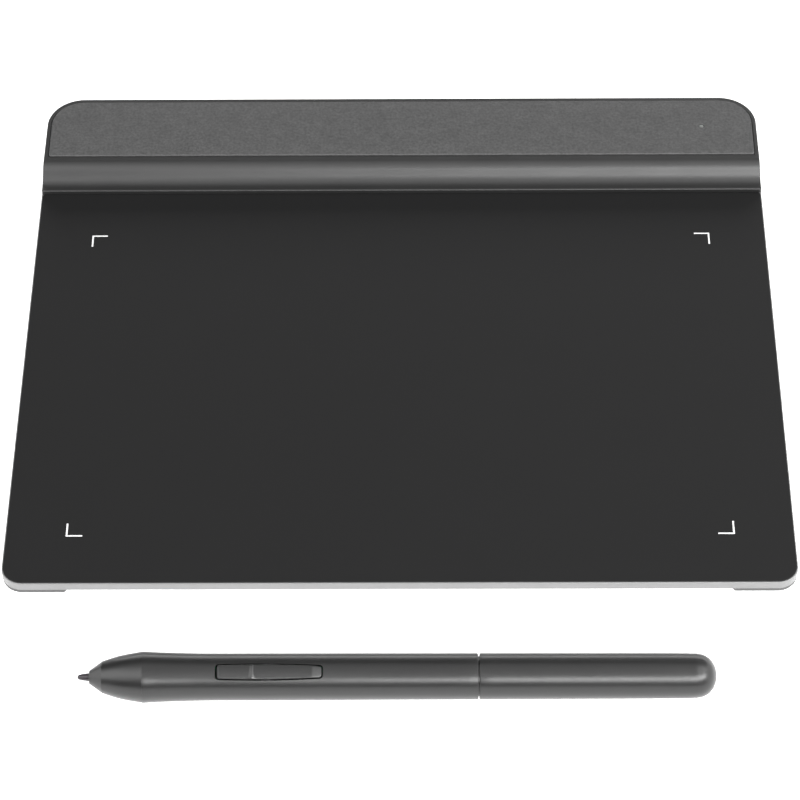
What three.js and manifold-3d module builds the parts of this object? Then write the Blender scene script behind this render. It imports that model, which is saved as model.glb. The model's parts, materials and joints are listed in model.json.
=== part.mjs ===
// A slim pen drawing tablet with its battery-free pen lying in front of it.
// Millimetres, +Z up, X across the tablet, Y from the user to the back.
// The origin is on the desk, under the centre of the whole set.
import * as THREE from "three";
import { mergeVertices } from "three/addons/utils/BufferGeometryUtils.js";
import Module from "manifold-3d";

const wasm = await Module();
wasm.setup();

// ---------------------------------------------------------------- driving dimensions

// Tablet, in its own frame: Y = 0 at the front edge, Z = 0 on the desk.
const TABLET_W = 190.1;
const TABLET_D = 160.95;
const HALF_W = TABLET_W / 2;
const FRONT_CORNER_R = 5.1;
const REAR_CORNER_R = 9.6;
const GROUND_GAP = 1.1;
const PLATE_TOP = 3.7;
const BAR_FRONT = 129.85;
const SHEET_GAP = 0.05;

// Plate, from the drawing sheet down.
const FILM_T = 0.25;
const FILM_INSET = 0.3;
const FILM_REAR_CORNER_R = 0.8;
const FILM_TO_BAR = 0.1;
const FRAME_WALL = 1.2;
const FRAME_WEB_T = 0.45;
const FRAME_SKIRT_T = 0.3;
const WEB_END = 133.5;
const SENSOR_T = 0.55;
const SENSOR_INSET = 1.7;
const SENSOR_REAR = 138.2;
const FOIL_T = 0.1;
const FOIL_INSET = 2.2;
const FOIL_REAR = 133;
const BOARD_CORNER_R = 4;
const SHELL_FLANGE_T = 0.28;
const SHELL_FLANGE_INSET = 0.35;
const SHELL_INNER_TOP = 2.15;
const SHELL_CLEARANCE = 0.25;

// Bar: offsets are behind its front lip and heights above the plate's top.
const LIP_H = 1.15;
const LIP_EDGE_R = 0.2;
const LIP_FLAT = 0.6;
const VALLEY_OFFSET = 1.6;
const VALLEY_H = 1.02;
const SHOULDER_OFFSET = 7.9;
const SHOULDER_H = 4.9;
const COVE_PULL = 3.35;
const SHOULDER_PULL = 3.35;
const BAR_REAR_EDGE_R = 0.5;
const BAR_WALL = 1.3;
const BAR_DRAFT = 0.065;
const CEILING_H = 3.55;
const CAVITY_CORNERS = [[8.6, CEILING_H], [5.4, 1.2], [4.2, 0.35]];
const PANEL_FRONT = 139.15;
const PANEL_RIM_SIDE = 1.6;
const PANEL_RIM_REAR = 1.6;
const PANEL_T = 0.63;
const PANEL_RISE = 0.22;
const PANEL_GAP = 0.2;
const PANEL_CORNER_R = 8.3;
const SHARP_CORNER_R = 0.3;

// Electronics in the bar.
const BOARD_BOTTOM = 3.1;
const BOARD_T = 0.8;
const BOARD_FRONT = 141.5;
const BOARD_REAR = 154.95;
const BOARD_LEFT = -60;
const BOARD_RIGHT = 88;
const BOARD_TAB_HALF_W = 9;
const BOARD_TAB_REAR = 159.25;
const USB_W = 8.9;
const USB_H = 3.2;
const USB_WALL = 0.3;
const USB_FRONT = 153.85;
const USB_MOUTH = 160.65;
const USB_Z = 3.9;
const USB_CLEARANCE = 0.25;
const TONGUE_HALF_W = 3.35;
const TONGUE_HALF_T = 0.35;
const TONGUE_END = 159.85;
const TONGUE_BASE_T = 1.4;
const LED_X = 80;
const LED_Y = 149.55;
const LIGHT_PIPE_R = 0.55;
const LIGHT_PIPE_BOTTOM = 4.55;
const LIGHT_PIPE_CLEARANCE = 0.1;
const FLEX_LEFT = 30;
const FLEX_RIGHT = 48;
const FLEX_T = 0.15;
const FLEX_LINE = [[137.7, 3.35], [138.9, 3.35], [140.6, 4.35], [141.9, 4.35]];
const CONNECTOR_OVERHANG = 2;
const CONNECTOR_H = 0.9;
const BOARD_CONNECTOR_Y = [142, 144.6];
const SENSOR_CONNECTOR_Y = [134.8, 137.6];
const CHIPS = {
  controller_chip: [14, 148.5, 7, 7, 0.9],
  signal_chip: [-22, 148.5, 5, 5, 0.8],
  memory_chip: [-36, 149, 4, 5, 0.8],
  crystal: [24, 152, 3.2, 2.5, 0.7],
  status_led: [LED_X, LED_Y, 1.6, 0.8, 0.55],
};

// Feet and screws.
const FOOT_T = 1.05;
const FOOT_W = 6;
const FOOT_INSET = 0.1;
const FOOT_BEVEL = 0.2;
const FOOT_INNER_R = 3;
const FRONT_FOOT_L = 15.7;
const REAR_FOOT_L = 20;
// Each foot: its name, leg length, corner radius, quarter turns and corner.
const FEET = [
  ["foot_front_right", FRONT_FOOT_L, FRONT_CORNER_R, 0, HALF_W, 0],
  ["foot_rear_right", REAR_FOOT_L, REAR_CORNER_R, 1, HALF_W, TABLET_D],
  ["foot_rear_left", REAR_FOOT_L, REAR_CORNER_R, 2, -HALF_W, TABLET_D],
  ["foot_front_left", FRONT_FOOT_L, FRONT_CORNER_R, 3, -HALF_W, 0],
];
const CASE_SCREW_X = [-70, -25, 25, 70];
const CASE_SCREW_Y = 157.25;
const CASE_SCREW = { z: GROUND_GAP + SHEET_GAP, headT: 0.5, headR: 1.75, neckR: 0.8, shankR: 0.7, top: 4.9 };
const BOARD_SCREW_X = [-50, 62];
const BOARD_SCREW_Y = 146.5;
const BOARD_SCREW = { z: 2.55, headT: 0.5, headR: 1.2, neckR: 1.5, shankR: 0.65, top: 4.9 };
const CROSS_HALF_W = 0.22;
const CROSS_DEPTH = 0.3;
const CROSS_L = 1.7;
const SINK_R = 2.05;
const SINK_DEPTH = 0.6;
const SHANK_HOLE_R = 1.2;
const BOARD_HOLE_R = 1;
const CASE_BOSS_R = 2.1;
const BOARD_BOSS_R = 1.9;
const PILOT_R = 0.95;
const PILOT_TOP = 5.2;

// Pen, in its own frame: X along its axis from the nib's tip, +Z out through the rocker.
const PEN_L = 147.7;
const FLARE_X = 15.3;
const FLARE_R = 5.95;
const NOSE_MOUTH_X = 2.8;
const NOSE_BORE_R = 1.15;
const SPIGOT_END = 20;
const SPIGOT_R = 4.3;
const SPIGOT_BORE_R = 3.6;
const SEAM_X = 92.6;
const SEAM_GAP = 0.35;
const SEAM_R = 5.36;
const SEAM_CHAMFER = 0.25;
const REAR_REST_X = 138.5;
const REAR_REST_R = 5.25;
const BARREL_BORE_R = 4.5;
const REAR_BORE_R = 4.4;
const SLEEVE_START = 84;
const SLEEVE_END = 101;
const NIB_R = 0.8;
const NIB_END = 22.6;
const HOLDER_START = 21.2;
const HOLDER_END = 24;
const HOLDER_R = 1.6;
const HOLDER_BORE_R = 0.95;
const HOLDER_BORE_END = 22.9;
const PAD_T = 0.25;
const PAD_R = 1.2;
const CORE = { start: 8.6, end: 20.4, outer: 2, inner: 1.1 };
const COIL = { start: 9.4, end: 17.4, outer: 2.75, inner: 2.1 };
const SENSOR_HOUSING = { start: 18, end: 27.2, outer: 3.35, inner: 2.15 };
const PRESSURE_SENSOR = { start: 25.1, end: 26.8, outer: 2, inner: 0.4 };
const PEN_BOARD_START = 28;
const PEN_BOARD_END = 82;
const PEN_BOARD_HALF_W = 3.8;
const PEN_BOARD_TOP = 1;
const PEN_BOARD_T = 0.8;
const PEN_CHIP = { start: 62, end: 66, halfW: 2, t: 0.8 };
const CARRIER = { start: 27.6, end: 83.4, outer: 4.3, inner: 3.5 };

// Rocker and its pivot.
const ROCKER_X = 44.35;
const ROCKER_L = 24.6;
const ROCKER_END_W = 2.7;
const ROCKER_MID_W = 3.3;
const ROCKER_GAP = 0.25;
const ROCKER_CORNER_R = 0.7;
const ROCKER_UNDERSIDE = 4;
const ROCKER_CROWN_R = 5.7;
const ROCKER_END_R = 5.35;
const RIDGE_X = 40.5;
const RIDGE_H = 0.2;
const RIDGE_FOOT_HALF = 0.4;
const RIDGE_TOP_HALF = 0.2;
const FRONT_RAMP = 11.7;
const REAR_RAMP = 9.9;
const PIVOT_Z = 3;
const PIN_R = 0.5;
const PIN_HALF_L = 2.35;
const PIN_CLEARANCE = 0.1;
const LUG_HALF_W = 1.15;
const LUG_BOTTOM = 2.1;
const EAR_INNER = 1.75;
const EAR_OUTER = 2.3;
const EAR_HALF_L = 1.1;
const EAR_ABOVE_PIVOT = 0.7;
const BRACKET_BASE_T = 0.4;
const SWITCH_REACH = 9;
const SWITCH_HALF_L = 1.5;
const SWITCH_HALF_W = 1.3;
const SWITCH_BODY_T = 0.6;
const PLUNGER_R = 0.8;
const PLUNGER_TOP = 2;
const ROCKER_FOOT_R = 0.7;
const ROCKER_FOOT_BOTTOM = 2.3;

// Where the pen lies: its widest ring touches the desk here, and its rear end rests too.
const PEN_GAP = 23.15;
const PEN_FLARE_AT_X = -59;
const PEN_ROLL = THREE.MathUtils.degToRad(24);
const PEN_YAW = 0.005;
const PEN_TILT = Math.asin((FLARE_R - REAR_REST_R) / (REAR_REST_X - FLARE_X));

const SET_DEPTH = TABLET_D + PEN_GAP + 2 * FLARE_R;
const TABLET_Y = SET_DEPTH / 2 - TABLET_D;

const ROUND_SEGMENTS = 36;
const SMALL_SEGMENTS = 16;
const CORNER_SEGMENTS = 6;
const COVE_SEGMENTS = 10;
const MERGE_MM = 1e-4;
const CUT_MARGIN = 1;
const JOIN_MARGIN = 0.3;

// ---------------------------------------------------------------- levels worked out from the above

const FLANGE_TOP = GROUND_GAP + SHELL_FLANGE_T;
const FRAME_BOTTOM = FLANGE_TOP + SHEET_GAP;
const FRAME_TOP = PLATE_TOP - FILM_T - SHEET_GAP;
const WEB_BOTTOM = FRAME_TOP - FRAME_WEB_T;
const BAR_BOTTOM = FRAME_TOP + SHEET_GAP;
const SENSOR_TOP = WEB_BOTTOM - SHEET_GAP;
const SENSOR_BOTTOM = SENSOR_TOP - SENSOR_T;
const BOARD_TOP = BOARD_BOTTOM + BOARD_T;
const SHOULDER_TOP = PLATE_TOP + SHOULDER_H;
const CEILING = PLATE_TOP + CEILING_H;
const BAR_INNER_REAR = TABLET_D - BAR_WALL;
const PANEL_TOP = SHOULDER_TOP + PANEL_RISE;
const PANEL_BOTTOM = PANEL_TOP - PANEL_T;
const BARREL_START = FLARE_X + SHEET_GAP;
const PEN_BOARD_BOTTOM = PEN_BOARD_TOP - PEN_BOARD_T;
const PEN_PARTS_BOTTOM = PEN_BOARD_TOP + SHEET_GAP;

// ---------------------------------------------------------------- materials

const paint = (color, roughness, metalness = 0) =>
  new THREE.MeshStandardMaterial({ color, roughness, metalness });

const film = paint(0x343434, 0.6);
const silver = paint(0xd2d2d2, 0.35, 0.6);
const darkPlastic = paint(0x3c3c3c, 0.55);
const housingPlastic = paint(0x4e4e4e, 0.45);
const panelPlastic = paint(0x646464, 0.5);
const rubber = paint(0x8b8b8a, 0.85);
const steel = paint(0xb4b4b8, 0.3, 1);
const foil = paint(0xc0c0c0, 0.4, 1);
const circuit = paint(0x1f5a3a, 0.5);
const innerPlastic = paint(0x1a1a1c, 0.5);
const connectorPlastic = paint(0xe6e2d6, 0.6);
const flexFilm = paint(0xb9742a, 0.45);
const clearPlastic = paint(0xcfcfcf, 0.2);
const penPlastic = paint(0x4c4c4c, 0.4);
const nibPlastic = paint(0x2b2a2d, 0.35);
const copper = paint(0xb87333, 0.35, 1);
const ferrite = paint(0x3a3a3e, 0.6);
const silicone = paint(0xd8d8d0, 0.7);

// ---------------------------------------------------------------- solids

function toSolid(geometry) {
  const bare = geometry.clone();
  bare.deleteAttribute("normal");
  bare.deleteAttribute("uv");
  const merged = mergeVertices(bare, MERGE_MM);
  return new wasm.Manifold(
    new wasm.Mesh({
      numProp: 3,
      vertProperties: new Float32Array(merged.attributes.position.array),
      triVerts: new Uint32Array(merged.index.array),
    }),
  );
}

function toGeometry(solid) {
  const mesh = solid.getMesh();
  const geometry = new THREE.BufferGeometry();
  geometry.setAttribute("position", new THREE.BufferAttribute(mesh.vertProperties, 3));
  geometry.setIndex(new THREE.BufferAttribute(mesh.triVerts, 1));
  geometry.computeVertexNormals();
  return geometry;
}

const combine = (how, first, others) =>
  toGeometry(others.reduce((solid, g) => solid[how](toSolid(g)), toSolid(first)));
const cut = (first, ...others) => combine("subtract", first, others);
const join = (first, ...others) => combine("add", first, others);
const common = (first, ...others) => combine("intersect", first, others);

function block(x0, x1, y0, y1, z0, z1) {
  const box = new THREE.BoxGeometry(x1 - x0, y1 - y0, z1 - z0);
  return box.translate((x0 + x1) / 2, (y0 + y1) / 2, (z0 + z1) / 2);
}

function slab(shape, z0, z1) {
  const options = { depth: z1 - z0, bevelEnabled: false, curveSegments: CORNER_SEGMENTS };
  return new THREE.ExtrudeGeometry(shape, options).translate(0, 0, z0);
}

// A slab whose sides lean in above z0 by the draft, a share of the height; below z0 they mirror that.
function draftedSlab(shape, z0, z1, draft) {
  const rise = z1 - z0;
  const lean = rise * draft;
  const options = {
    depth: CUT_MARGIN,
    bevelThickness: rise,
    bevelSize: lean,
    bevelOffset: -lean,
    bevelSegments: 1,
    curveSegments: CORNER_SEGMENTS,
  };
  return new THREE.ExtrudeGeometry(shape, options).translate(0, 0, z0 - CUT_MARGIN);
}

// A slab whose lower and upper edges are bevelled inside its own outline.
function bevelledSlab(shape, z0, z1, bevel) {
  const options = {
    depth: z1 - z0 - 2 * bevel,
    bevelThickness: bevel,
    bevelSize: bevel,
    bevelOffset: -bevel,
    bevelSegments: 1,
    curveSegments: CORNER_SEGMENTS,
  };
  return new THREE.ExtrudeGeometry(shape, options).translate(0, 0, z0 + bevel);
}

// A cross-section drawn in (Y, Z), swept across X.
function sweepX(shape, x0, x1) {
  const options = { depth: x1 - x0, bevelEnabled: false, curveSegments: COVE_SEGMENTS };
  const axes = new THREE.Matrix4().makeBasis(
    new THREE.Vector3(0, 1, 0),
    new THREE.Vector3(0, 0, 1),
    new THREE.Vector3(1, 0, 0),
  );
  return new THREE.ExtrudeGeometry(shape, options).applyMatrix4(axes).translate(x0, 0, 0);
}

// An upright round solid, or a cone where the two radii differ.
function post(x, y, z0, z1, lowerR, upperR = lowerR) {
  const body = new THREE.CylinderGeometry(upperR, lowerR, z1 - z0, SMALL_SEGMENTS);
  return body.rotateX(Math.PI / 2).translate(x, y, (z0 + z1) / 2);
}

// A round solid lying along Y, centred on Y = 0.
function rodY(x, z, halfL, r) {
  return new THREE.CylinderGeometry(r, r, 2 * halfL, SMALL_SEGMENTS).translate(x, 0, z);
}

// A turned solid about the X axis; the profile is a list of [x, radius].
function turned(profile, segments = ROUND_SEGMENTS) {
  const points = profile.map(([x, r]) => new THREE.Vector2(r, x));
  return new THREE.LatheGeometry(points, segments).rotateZ(-Math.PI / 2);
}

// A tube about the X axis.
function tube({ start, end, outer, inner }, segments = SMALL_SEGMENTS) {
  const profile = [[start, outer], [end, outer], [end, inner], [start, inner], [start, outer]];
  return turned(profile, segments);
}

function polygon(points) {
  return new THREE.Shape(points.map(([x, y]) => new THREE.Vector2(x, y)));
}

// A rectangle with one radius for its two front corners and one for its two rear corners.
function roundedOutline(x0, x1, y0, y1, frontR, rearR) {
  const shape = new THREE.Shape();
  shape.moveTo(x0 + frontR, y0);
  shape.lineTo(x1 - frontR, y0);
  shape.absarc(x1 - frontR, y0 + frontR, frontR, -Math.PI / 2, 0);
  shape.lineTo(x1, y1 - rearR);
  shape.absarc(x1 - rearR, y1 - rearR, rearR, 0, Math.PI / 2);
  shape.lineTo(x0 + rearR, y1);
  shape.absarc(x0 + rearR, y1 - rearR, rearR, Math.PI / 2, Math.PI);
  shape.lineTo(x0, y0 + frontR);
  shape.absarc(x0 + frontR, y0 + frontR, frontR, Math.PI, 1.5 * Math.PI);
  return shape;
}

// The tablet's plan outline, drawn in by an inset.
function tabletOutline(inset) {
  const side = HALF_W - inset;
  const rear = TABLET_D - inset;
  return roundedOutline(-side, side, inset, rear, FRONT_CORNER_R - inset, REAR_CORNER_R - inset);
}

function addPiece(group, name, geometry, material) {
  const mesh = new THREE.Mesh(geometry, material);
  mesh.name = name;
  group.add(mesh);
}

// ---------------------------------------------------------------- tablet: plate

function workSurface() {
  const side = HALF_W - FILM_INSET;
  const rear = BAR_FRONT - FILM_TO_BAR;
  const front = FRONT_CORNER_R - FILM_INSET;
  const outline = roundedOutline(-side, side, FILM_INSET, rear, front, FILM_REAR_CORNER_R);
  return slab(outline, PLATE_TOP - FILM_T, PLATE_TOP);
}

// The port's rounded outline in (X, Z), as a plug running back along Y.
function portPlug(clearance, y0, y1) {
  const r = USB_H / 2 + clearance;
  const half = USB_W / 2 + clearance - r;
  const shape = new THREE.Shape();
  shape.absarc(half, 0, r, -Math.PI / 2, Math.PI / 2);
  shape.absarc(-half, 0, r, Math.PI / 2, 1.5 * Math.PI);
  return slab(shape, -y1, -y0).rotateX(Math.PI / 2).translate(0, 0, USB_Z);
}

const portOpening = () =>
  portPlug(USB_CLEARANCE, BAR_INNER_REAR - CUT_MARGIN, TABLET_D + CUT_MARGIN);

// A wall all round the tablet, with a web under the drawing sheet, an open well under the bar and
// a thin skirt that hides the edge of the shell below.
function edgeFrame() {
  const side = HALF_W - FRAME_WALL;
  const rear = TABLET_D - FRAME_WALL;
  const wellR = REAR_CORNER_R - FRAME_WALL;
  const well = roundedOutline(-side, side, WEB_END, rear, SHARP_CORNER_R, wellR);
  return cut(
    slab(tabletOutline(0), GROUND_GAP, FRAME_TOP),
    slab(tabletOutline(FRAME_SKIRT_T), GROUND_GAP - CUT_MARGIN, FRAME_BOTTOM),
    slab(tabletOutline(FRAME_WALL), FRAME_BOTTOM - CUT_MARGIN, WEB_BOTTOM),
    slab(well, FRAME_BOTTOM, FRAME_TOP + CUT_MARGIN),
    portOpening(),
  );
}

// A thin flange under the frame's wall and a thicker floor that stands up inside it.
function bottomShell() {
  const flange = slab(tabletOutline(SHELL_FLANGE_INSET), GROUND_GAP, FLANGE_TOP);
  const inset = FRAME_WALL + SHELL_CLEARANCE;
  const raised = slab(tabletOutline(inset), FLANGE_TOP - SHEET_GAP, SHELL_INNER_TOP);
  const holes = CASE_SCREW_X.flatMap((x) => [
    post(x, CASE_SCREW_Y, 0, SHELL_INNER_TOP + CUT_MARGIN, SHANK_HOLE_R),
    post(x, CASE_SCREW_Y, GROUND_GAP - SHEET_GAP, GROUND_GAP + SINK_DEPTH, SINK_R, SHANK_HOLE_R),
  ]);
  return cut(join(flange, raised), ...holes);
}

function innerSheet(inset, rear, z0, z1) {
  const side = HALF_W - inset;
  return slab(roundedOutline(-side, side, inset, rear, BOARD_CORNER_R, SHARP_CORNER_R), z0, z1);
}

const sensorBoard = () => innerSheet(SENSOR_INSET, SENSOR_REAR, SENSOR_BOTTOM, SENSOR_TOP);

function shieldFoil() {
  const top = SENSOR_BOTTOM - SHEET_GAP;
  return innerSheet(FOIL_INSET, FOIL_REAR, top - FOIL_T, top);
}

// ---------------------------------------------------------------- tablet: bar

// The bar's section from its rear wall, over the shoulder and the pen rest's cove, to its front lip.
function barSection() {
  const lip = PLATE_TOP + LIP_H;
  const valley = PLATE_TOP + VALLEY_H;
  const rearArcY = TABLET_D - BAR_REAR_EDGE_R;
  const rearArcZ = SHOULDER_TOP - BAR_REAR_EDGE_R;
  const shoulderY = BAR_FRONT + SHOULDER_OFFSET;
  const valleyY = BAR_FRONT + VALLEY_OFFSET;
  const lipArcY = BAR_FRONT + LIP_EDGE_R;
  const shape = new THREE.Shape();
  shape.moveTo(BAR_FRONT, BAR_BOTTOM);
  shape.lineTo(TABLET_D, BAR_BOTTOM);
  shape.lineTo(TABLET_D, rearArcZ);
  shape.absarc(rearArcY, rearArcZ, BAR_REAR_EDGE_R, 0, Math.PI / 2);
  shape.lineTo(shoulderY, SHOULDER_TOP);
  shape.bezierCurveTo(
    shoulderY - SHOULDER_PULL,
    SHOULDER_TOP,
    valleyY + COVE_PULL,
    valley,
    valleyY,
    valley,
  );
  shape.lineTo(BAR_FRONT + LIP_FLAT, lip);
  shape.lineTo(lipArcY, lip);
  shape.absarc(lipArcY, lip - LIP_EDGE_R, LIP_EDGE_R, Math.PI / 2, Math.PI);
  return shape;
}

// The room inside the bar, whose roof follows the cove.
function barCavity() {
  const floor = BAR_BOTTOM - CUT_MARGIN;
  const roof = CAVITY_CORNERS.map(([offset, height]) => [BAR_FRONT + offset, PLATE_TOP + height]);
  const frontY = roof.at(-1)[0];
  const section = polygon([
    [frontY, floor],
    [BAR_INNER_REAR, floor],
    [BAR_INNER_REAR, CEILING],
    ...roof,
  ]);
  const plan = slab(tabletOutline(BAR_WALL), floor, CEILING + CUT_MARGIN);
  return common(sweepX(section, -HALF_W, HALF_W), plan);
}

function panelOutline(gap) {
  const side = HALF_W - PANEL_RIM_SIDE + gap;
  const rear = TABLET_D - PANEL_RIM_REAR + gap;
  const front = PANEL_FRONT - gap;
  return roundedOutline(-side, side, front, rear, SHARP_CORNER_R, PANEL_CORNER_R + gap);
}

const lightPipeHole = () =>
  post(LED_X, LED_Y, PLATE_TOP, PANEL_TOP + CUT_MARGIN, LIGHT_PIPE_R + LIGHT_PIPE_CLEARANCE);

// One post for each X, in a row along one Y.
const postRow = (xs, y, z0, z1, r) => xs.map((x) => post(x, y, z0, z1, r));

function barHousing() {
  const plan = draftedSlab(tabletOutline(0), FRAME_TOP, SHOULDER_TOP + CUT_MARGIN, BAR_DRAFT);
  const outer = common(sweepX(barSection(), -HALF_W, HALF_W), plan);
  const recessFloor = PANEL_BOTTOM - SHEET_GAP;
  const recess = slab(panelOutline(PANEL_GAP), recessFloor, PANEL_TOP + CUT_MARGIN);
  const shell = cut(outer, barCavity(), recess, portOpening());
  const bossTop = CEILING + JOIN_MARGIN;
  const caseBossBottom = SHELL_INNER_TOP + SHEET_GAP;
  const boardBossBottom = BOARD_TOP + SHEET_GAP;
  return cut(
    join(
      shell,
      ...postRow(CASE_SCREW_X, CASE_SCREW_Y, caseBossBottom, bossTop, CASE_BOSS_R),
      ...postRow(BOARD_SCREW_X, BOARD_SCREW_Y, boardBossBottom, bossTop, BOARD_BOSS_R),
    ),
    ...postRow(CASE_SCREW_X, CASE_SCREW_Y, 0, PILOT_TOP, PILOT_R),
    ...postRow(BOARD_SCREW_X, BOARD_SCREW_Y, 0, PILOT_TOP, PILOT_R),
    lightPipeHole(),
  );
}

const panelInsert = () => cut(slab(panelOutline(0), PANEL_BOTTOM, PANEL_TOP), lightPipeHole());

// ---------------------------------------------------------------- tablet: electronics

// A long board with a tab to the rear wall, notched round the port.
function controllerBoard() {
  const main = block(BOARD_LEFT, BOARD_RIGHT, BOARD_FRONT, BOARD_REAR, BOARD_BOTTOM, BOARD_TOP);
  const tabFront = BOARD_REAR - JOIN_MARGIN;
  const tabHalf = BOARD_TAB_HALF_W;
  const tab = block(-tabHalf, tabHalf, tabFront, BOARD_TAB_REAR, BOARD_BOTTOM, BOARD_TOP);
  const half = USB_W / 2 + USB_CLEARANCE;
  const notch = block(-half, half, USB_FRONT - USB_CLEARANCE, TABLET_D, 0, SHOULDER_TOP);
  const holes = postRow(BOARD_SCREW_X, BOARD_SCREW_Y, 0, SHOULDER_TOP, BOARD_HOLE_R);
  return cut(join(main, tab), notch, ...holes);
}

function usbShell() {
  const room = portPlug(-USB_WALL, USB_FRONT + USB_WALL, USB_MOUTH + CUT_MARGIN);
  return cut(portPlug(0, USB_FRONT, USB_MOUTH), room);
}

// The receptacle's insulator: a block at the back of the shell and the contact tongue.
function usbTongue() {
  const back = USB_FRONT + USB_WALL + SHEET_GAP;
  const base = portPlug(-USB_WALL - SHEET_GAP, back, back + TONGUE_BASE_T);
  const low = USB_Z - TONGUE_HALF_T;
  const high = USB_Z + TONGUE_HALF_T;
  return join(base, block(-TONGUE_HALF_W, TONGUE_HALF_W, back + JOIN_MARGIN, TONGUE_END, low, high));
}

function sensorFlex() {
  const upper = FLEX_LINE.map(([y, z]) => [y, z + FLEX_T]).reverse();
  return sweepX(polygon([...FLEX_LINE, ...upper]), FLEX_LEFT, FLEX_RIGHT);
}

function connector([y0, y1], z0) {
  const left = FLEX_LEFT - CONNECTOR_OVERHANG;
  return block(left, FLEX_RIGHT + CONNECTOR_OVERHANG, y0, y1, z0, z0 + CONNECTOR_H);
}

function chip([x, y, w, d, h]) {
  const base = BOARD_TOP + SHEET_GAP;
  return block(x - w / 2, x + w / 2, y - d / 2, y + d / 2, base, base + h);
}

// A screw driven upwards, with a cross cut into its head's lower face.
function screw(x, y, { z, headT, headR, neckR, shankR, top }) {
  const head = post(x, y, z, z + headT, headR, neckR);
  const shank = post(x, y, z + headT - SHEET_GAP, top, shankR);
  const half = CROSS_L / 2;
  const thin = CROSS_HALF_W;
  const low = z - CUT_MARGIN;
  const high = z + CROSS_DEPTH;
  return cut(
    join(head, shank),
    block(x - half, x + half, y - thin, y + thin, low, high),
    block(x - thin, x + thin, y - half, y + half, low, high),
  );
}

// ---------------------------------------------------------------- tablet: feet

// An L-shaped pad that wraps a corner of the given radius, with the corner at the origin.
function cornerPad(length, cornerR) {
  const r = cornerR - FOOT_INSET;
  const inner = FOOT_INSET + FOOT_W;
  const bend = inner + FOOT_INNER_R;
  const shape = new THREE.Shape();
  shape.moveTo(-length, FOOT_INSET);
  shape.lineTo(-FOOT_INSET - r, FOOT_INSET);
  shape.absarc(-FOOT_INSET - r, FOOT_INSET + r, r, -Math.PI / 2, 0);
  shape.lineTo(-FOOT_INSET, length);
  shape.lineTo(-inner, length);
  shape.lineTo(-inner, bend);
  shape.absarc(-bend, bend, FOOT_INNER_R, 0, -Math.PI / 2, true);
  shape.lineTo(-length, inner);
  return bevelledSlab(shape, 0, FOOT_T, FOOT_BEVEL);
}

function foot(length, cornerR, quarterTurns, x, y) {
  return cornerPad(length, cornerR).rotateZ((quarterTurns * Math.PI) / 2).translate(x, y, 0);
}

// ---------------------------------------------------------------- pen: barrels and nib

// A thin rod with a rounded, tapered tip and a small shoulder.
function nib() {
  const profile = [
    [0, 0],
    [0.12, 0.3],
    [0.45, 0.52],
    [1.1, 0.68],
    [3, 0.95],
    [3.6, 0.95],
    [3.8, NIB_R],
    [NIB_END, NIB_R],
    [NIB_END, 0],
  ];
  return turned(profile, SMALL_SEGMENTS);
}

// The cup that grips the nib's end and carries its push to the sensor.
function nibHolder() {
  const profile = [
    [HOLDER_START, HOLDER_R],
    [HOLDER_END, HOLDER_R],
    [HOLDER_END, 0],
    [HOLDER_BORE_END, 0],
    [HOLDER_BORE_END, HOLDER_BORE_R],
    [HOLDER_START, HOLDER_BORE_R],
    [HOLDER_START, HOLDER_R],
  ];
  return turned(profile, SMALL_SEGMENTS);
}

function sensorPad() {
  const start = HOLDER_END + SHEET_GAP;
  const profile = [[start, 0], [start, PAD_R], [start + PAD_T, PAD_R - PAD_T], [start + PAD_T, 0]];
  return turned(profile, SMALL_SEGMENTS);
}

// Two cones and a flare outside; a nib hole, a coil room and a spigot for the barrel inside.
function noseCone() {
  return turned([
    [NOSE_MOUTH_X, 1.55],
    [3.05, 1.72],
    [5.8, 3.71],
    [9.25, 4.81],
    [12, 5.4],
    [FLARE_X, FLARE_R],
    [FLARE_X, SPIGOT_R],
    [SPIGOT_END, SPIGOT_R],
    [SPIGOT_END, SPIGOT_BORE_R],
    [12.5, SPIGOT_BORE_R],
    [8.2, 3],
    [7.6, NOSE_BORE_R],
    [NOSE_MOUTH_X, NOSE_BORE_R],
    [NOSE_MOUTH_X, 1.55],
  ]);
}

// The grip: it narrows quickly behind the flare and then hardly at all.
function frontBarrel() {
  const body = turned([
    [BARREL_START, FLARE_R],
    [19, 5.745],
    [28.25, 5.48],
    [42.2, 5.45],
    [SEAM_X - SEAM_CHAMFER, SEAM_R],
    [SEAM_X, SEAM_R - SEAM_CHAMFER],
    [SEAM_X, BARREL_BORE_R],
    [BARREL_START, BARREL_BORE_R],
    [BARREL_START, FLARE_R],
  ]);
  return cut(body, slab(rockerOutline(ROCKER_GAP), ROCKER_UNDERSIDE - CUT_MARGIN, 2 * FLARE_R));
}

// The rear barrel and its domed end, which is closed.
function rearBarrel() {
  const start = SEAM_X + SEAM_GAP;
  return turned([
    [start, SEAM_R - SEAM_CHAMFER],
    [start + SEAM_CHAMFER, SEAM_R],
    [123.2, 5.3],
    [REAR_REST_X, REAR_REST_R],
    [143, 5.18],
    [144.5, 4.89],
    [145.7, 4.28],
    [146.6, 3.42],
    [147.3, 2.2],
    [PEN_L, 0.8],
    [PEN_L, 0],
    [146, 0],
    [143.6, 3],
    [141, REAR_BORE_R],
    [start, REAR_BORE_R],
    [start, SEAM_R - SEAM_CHAMFER],
  ]);
}

const couplingSleeve = () =>
  tube({ start: SLEEVE_START, end: SLEEVE_END, outer: SPIGOT_R, inner: SPIGOT_BORE_R }, ROUND_SEGMENTS);

// ---------------------------------------------------------------- pen: rocker

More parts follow.
